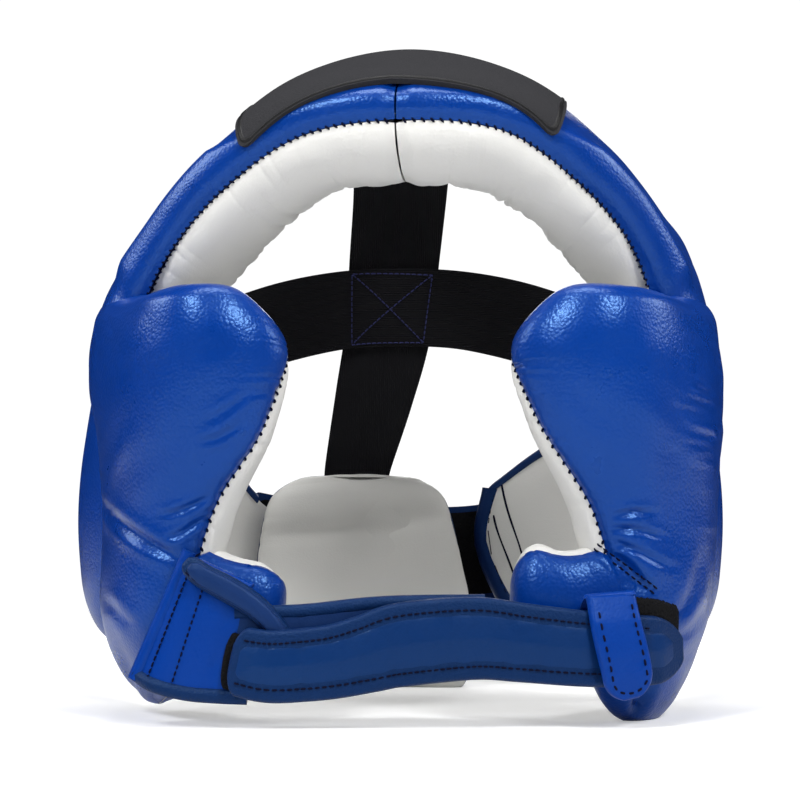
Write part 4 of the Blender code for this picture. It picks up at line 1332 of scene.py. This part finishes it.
hem_x = np.linspace(0.5 * MM, panel.length, 40)
hem_path = panel.at(hem_x, -panel.half_at(hem_x) + 1.2 * MM, 1.6 * MM)
hem_up = panel.read(panel.up, hem_x)
onward = unit(hem_path[-1] - hem_path[-2]) * np.array([1.0, 1.0, 0.6])
hem_path = np.vstack([hem_path, hem_path[-1] + MM * np.arange(1, 8)[:, None] * onward])
hem_up = np.vstack([hem_up, np.repeat(hem_up[-1:], 7, axis=0)])
hem_side = square_to(hem_path, hem_up)
HEM_WIDTH, HEM_HIGH = 4.6 * MM, 3.6 * MM
roll("anchor_panel_hem", hem_path, hem_side, hem_up, HEM_WIDTH, HEM_HIGH, TRIM, turns=12)

arm = Strip(
    [
        (-0.0665, PANEL_FACE + 0.0010, 0.0502),
        (-0.0615, PANEL_FACE, 0.0460),
        (-0.0541, PANEL_FACE, 0.0420),
        (-0.0479, PANEL_FACE, 0.0384),
        (-0.0429, PANEL_FACE, 0.0346),
        (-0.0380, PANEL_FACE + 0.0005, 0.0290),
        (-0.0350, PANEL_FACE + 0.0015, 0.0245),
    ],
    [
        (0.75, 0.0, 0.66),
        (0.62, 0.0, 0.78),
        (0.50, 0.0, 0.87),
        (0.52, 0.0, 0.85),
        (0.65, 0.0, 0.76),
        (0.85, 0.0, 0.50),
        (0.90, 0.0, 0.40),
    ],
    (0.0060, 0.0074, 0.0080, 0.0078, 0.0074, 0.0070, 0.0068),
)
look = dict(ends=(3 * MM, 0.0))
arm.build(
    "anchor_arm", TRIM, "navy_leather", ("anchor_binding",), 2.0 * MM, cols=17, puff=0.5 * MM, **look
)
arm.build(
    "anchor_arm_face", NAVY, "navy_leather", (), 1.0 * MM,
    lift=2.1 * MM, inset=0.9 * MM, cols=13, trim=(2.5 * MM, 0.0), puff=0.8 * MM, wave=0.2 * MM, **look,
)
rows = [[(3 * MM, -2.3 * MM), (arm.length - 2 * MM, -2.3 * MM)]]
arm.stitches("anchor_arm_stitches", rows, 2.9 * MM, pitch=2.2 * MM)

under = Strip(
    [
        (-0.0520, CHIN_FRONT, 0.0232),
        (-0.0300, CHIN_FRONT, 0.0238),
        (-0.0050, CHIN_FRONT + 0.0005, 0.0262),
        (0.0310, CHIN_FRONT + 0.0010, 0.0268),
    ],
    UP,
    24 * MM,
)
under.build(
    "under_strap_pad", NAVY, "navy_leather", ("under_strap",), 2.0 * MM,
    steps=80, cols=21, ends=(0.0, 8 * MM), puff=0.5 * MM, wave=0.3 * MM,
)
top_x = np.linspace(1 * MM, under.length - 6 * MM, 70)
top_up, top_side = under.read(under.up, top_x), under.read(under.sheet, top_x)
top_path = under.at(top_x, under.half_at(top_x) - 0.8 * MM, 1.2 * MM)
TOP_WIDTH, TOP_HIGH = 4.4 * MM, 3.4 * MM
roll("under_strap_binding", top_path, top_side, top_up, TOP_WIDTH, TOP_HIGH, TRIM, turns=12)

# --- Chin strap ------------------------------------------------------------------------------------
# The closing strap under the chin: navy leather, puffed between wide stitched hems. It is sewn down
# on the wearer's left under the keeper tab, bends at the tab's edge, and hooks on to the panel.

strap = Strip(
    [
        (-0.0520, STRAP_FACE + 0.0006, 0.0208),
        (-0.0410, STRAP_FACE, 0.0187),
        (-0.0300, STRAP_FACE - 0.0002, 0.0191),
        (-0.0200, STRAP_FACE - 0.0003, 0.0203),
        (-0.0100, STRAP_FACE - 0.0005, 0.0227),
        (0.0000, STRAP_FACE - 0.0006, 0.0252),
        (0.0210, STRAP_FACE - 0.0006, 0.0270),
        (0.0350, STRAP_FACE - 0.0003, 0.0258),
        (0.0510, STRAP_FACE, 0.0242),
        (0.0645, STRAP_FACE + 0.0045, 0.0233),
        (0.0765, STRAP_FACE + 0.0108, 0.0230),
        (0.0862, STRAP_FACE + 0.0182, 0.0232),
    ],
    UP,
    (0.0205, 0.0215, 0.0218, 0.0222, 0.0235, 0.0250, 0.0246, 0.0236, 0.0228, 0.0222, 0.0210, 0.0198),
)
HEM = 4.6 * MM
stitch_x = np.linspace(3 * MM, strap.length - 14 * MM, 30)
stitch_y = strap.half_at(stitch_x) - 4.0 * MM
rows = [np.column_stack([stitch_x, y]) for y in (stitch_y, -stitch_y)]
pieces = [
    strap.build(
        "chin_strap_hem", TRIM, "navy_leather", ("chin_strap", "chin_strap_end"), 2.6 * MM,
        steps=200, cols=31, ends=(4 * MM, 13 * MM), puff=0.5 * MM, wave=0.25 * MM, body=None,
    ),
    strap.build(
        "chin_strap_face", BAND_FACE, "navy_leather", (), 0.9 * MM, lift=1.6 * MM, inset=HEM,
        steps=200, cols=25, ends=(3 * MM, 7 * MM), trim=(2.2 * MM, 5 * MM), puff=1.3 * MM, wave=0.35 * MM,
        body=None,
    ),
    strap.stitches(
        "chin_strap_stitches", rows, 3.05 * MM,
        pitch=2.0 * MM, stitch=1.5 * MM, radius=0.32 * MM, body=None,
    ),
]
for piece in pieces:
    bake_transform(piece)

hook = Strip([(-0.0520, PANEL_FACE, 0.0215), (-0.0400, PANEL_FACE, 0.0195)], UP, 16 * MM)
hook.build(
    "chin_strap_hooks", PILE, "pile", ("chin_strap_hook",), 1.1 * MM,
    lift=1.5 * MM, steps=30, cols=21, ends=(4 * MM, 4 * MM), wave=0.3 * MM, body="chin_strap",
)
loops = Strip([(-0.0545, PANEL_FACE, 0.0205), (-0.0400, PANEL_FACE, 0.0180)], UP, 17 * MM)
loops.build(
    "anchor_loops", PILE, "pile", ("anchor_pile",), 1.2 * MM,
    steps=30, cols=21, ends=(2 * MM, 4 * MM), wave=0.3 * MM, fray=0.4 * MM,
)

# --- Keeper tab ------------------------------------------------------------------------------------
# A blue leather tab over the strap's fixed end, stitched all round. It hangs from a short base sewn
# to the cheek and folds up on it; a frayed patch of pile shows behind the strap's end.

TAB_X, TAB_TOP, TAB_WIDTH, TAB_LENGTH = 0.0645, 0.0400, 16 * MM, 31 * MM
TAB_SHEET = (1.0, 0.30, 0.0)
tab = Strip(
    [
        (TAB_X - 0.0020, TAB_FACE + 0.0045, TAB_TOP - 0.0002),
        (TAB_X - 0.0006, TAB_FACE + 0.0018, TAB_TOP - 0.33 * TAB_LENGTH),
        (TAB_X + 0.0018, TAB_FACE + 0.0020, TAB_TOP - 0.67 * TAB_LENGTH),
        (TAB_X + 0.0036, TAB_FACE + 0.0040, TAB_TOP - TAB_LENGTH),
    ],
    TAB_SHEET,
    (0.0160, 0.0166, 0.0164, 0.0150),
)
tab.build(
    "keeper_tab_leather", SOFT_BLUE, "blue_leather", ("keeper_tab",), 1.8 * MM,
    cols=25, ends=(0.0, 7 * MM), puff=0.35 * MM, wave=0.2 * MM, body="keeper_tab",
)
row_y = TAB_WIDTH / 2 - 2.4 * MM
round_end = [
    (tab.length - 6.5 * MM + 4.2 * MM * math.sin(a), row_y * math.cos(a))
    for a in np.linspace(0, math.pi, 9)
]
rows = [[(3 * MM, row_y), *round_end, (3 * MM, -row_y)]]
tab.stitches(
    "keeper_tab_stitches", rows, 2.0 * MM,
    pitch=2.9 * MM, radius=0.36 * MM, body="keeper_tab",
)
base = Strip(
    [
        (TAB_X - 0.0020, TAB_FACE + 0.0180, TAB_TOP - 0.0050),
        (TAB_X - 0.0020, TAB_FACE + 0.0110, TAB_TOP - 0.0028),
        (TAB_X - 0.0020, TAB_FACE + 0.0042, TAB_TOP - 0.0006),
    ],
    TAB_SHEET,
    TAB_WIDTH,
)
base.build("keeper_base_leather", SOFT_BLUE, "blue_leather", ("keeper_base",), 1.8 * MM, steps=24, cols=17)
cheek_pile = Strip(
    [
        (TAB_X + 0.0005, STRAP_FACE + 0.0052, 0.0297),
        (0.0780, STRAP_FACE + 0.0120, 0.0292),
        (0.0872, STRAP_FACE + 0.0190, 0.0285),
    ],
    UP,
    (0.0195, 0.0190, 0.0165),
)
cheek_pile.build(
    "cheek_pile_loops", PILE, "pile", ("cheek_pile",), 1.6 * MM,
    lift=-1.9 * MM, steps=90, cols=31, ends=(0.0, 2 * MM), wave=0.5 * MM, fray=0.35 * MM,
)

# --- Seams across the cheek pads -------------------------------------------------------------------
# Two rows of navy thread where each cheek pad's leather is joined above the chin, sunk a little into
# the leather.

SEAM_ENDS = {  # (x, z) on each pad, as on the wearer's left
    "left": ((0.0600, 0.0552), (0.0790, 0.0408)),
    "right": ((0.0690, 0.0478), (0.0628, 0.0523)),
}
SEAM_PITCH = 2.2 * MM
SEAM_STITCH = ((0.12, -0.3), (0.3, 0.15), (0.7, 0.15), (0.88, -0.3))  # share of the pitch, height in mm


def seam_stitch(shell, start, step, offset, k):
    """Points of stitch k of a row beside the line from start, laid on the front of a pad."""
    flat, ahead = shell.points[..., (0, 2)], shell.normal[..., 1] < -0.1
    across = unit(np.array([-step[1], step[0]]))
    run = []
    for part, rise in SEAM_STITCH:
        place = start + step * (k + part) + across * offset
        away = np.where(ahead, np.linalg.norm(flat - place, axis=2), 1.0)
        at = np.unravel_index(away.argmin(), away.shape)
        point = shell.points[at].copy()
        point[[0, 2]] = place
        run.append(point + shell.normal[at] * rise * MM)
    return flip(np.array(run)) if shell.mirror else run


for side, ends in SEAM_ENDS.items():
    start, end = np.array(ends)
    count = int(np.linalg.norm(end - start) / SEAM_PITCH)
    step = (end - start) / count
    runs = [
        seam_stitch(cheek_shells[side], start, step, offset, k)
        for offset in (-0.9 * MM, 0.9 * MM)
        for k in range(count)
    ]
    threads(f"cheek_seam_{side}", runs, 0.32 * MM, THREAD)
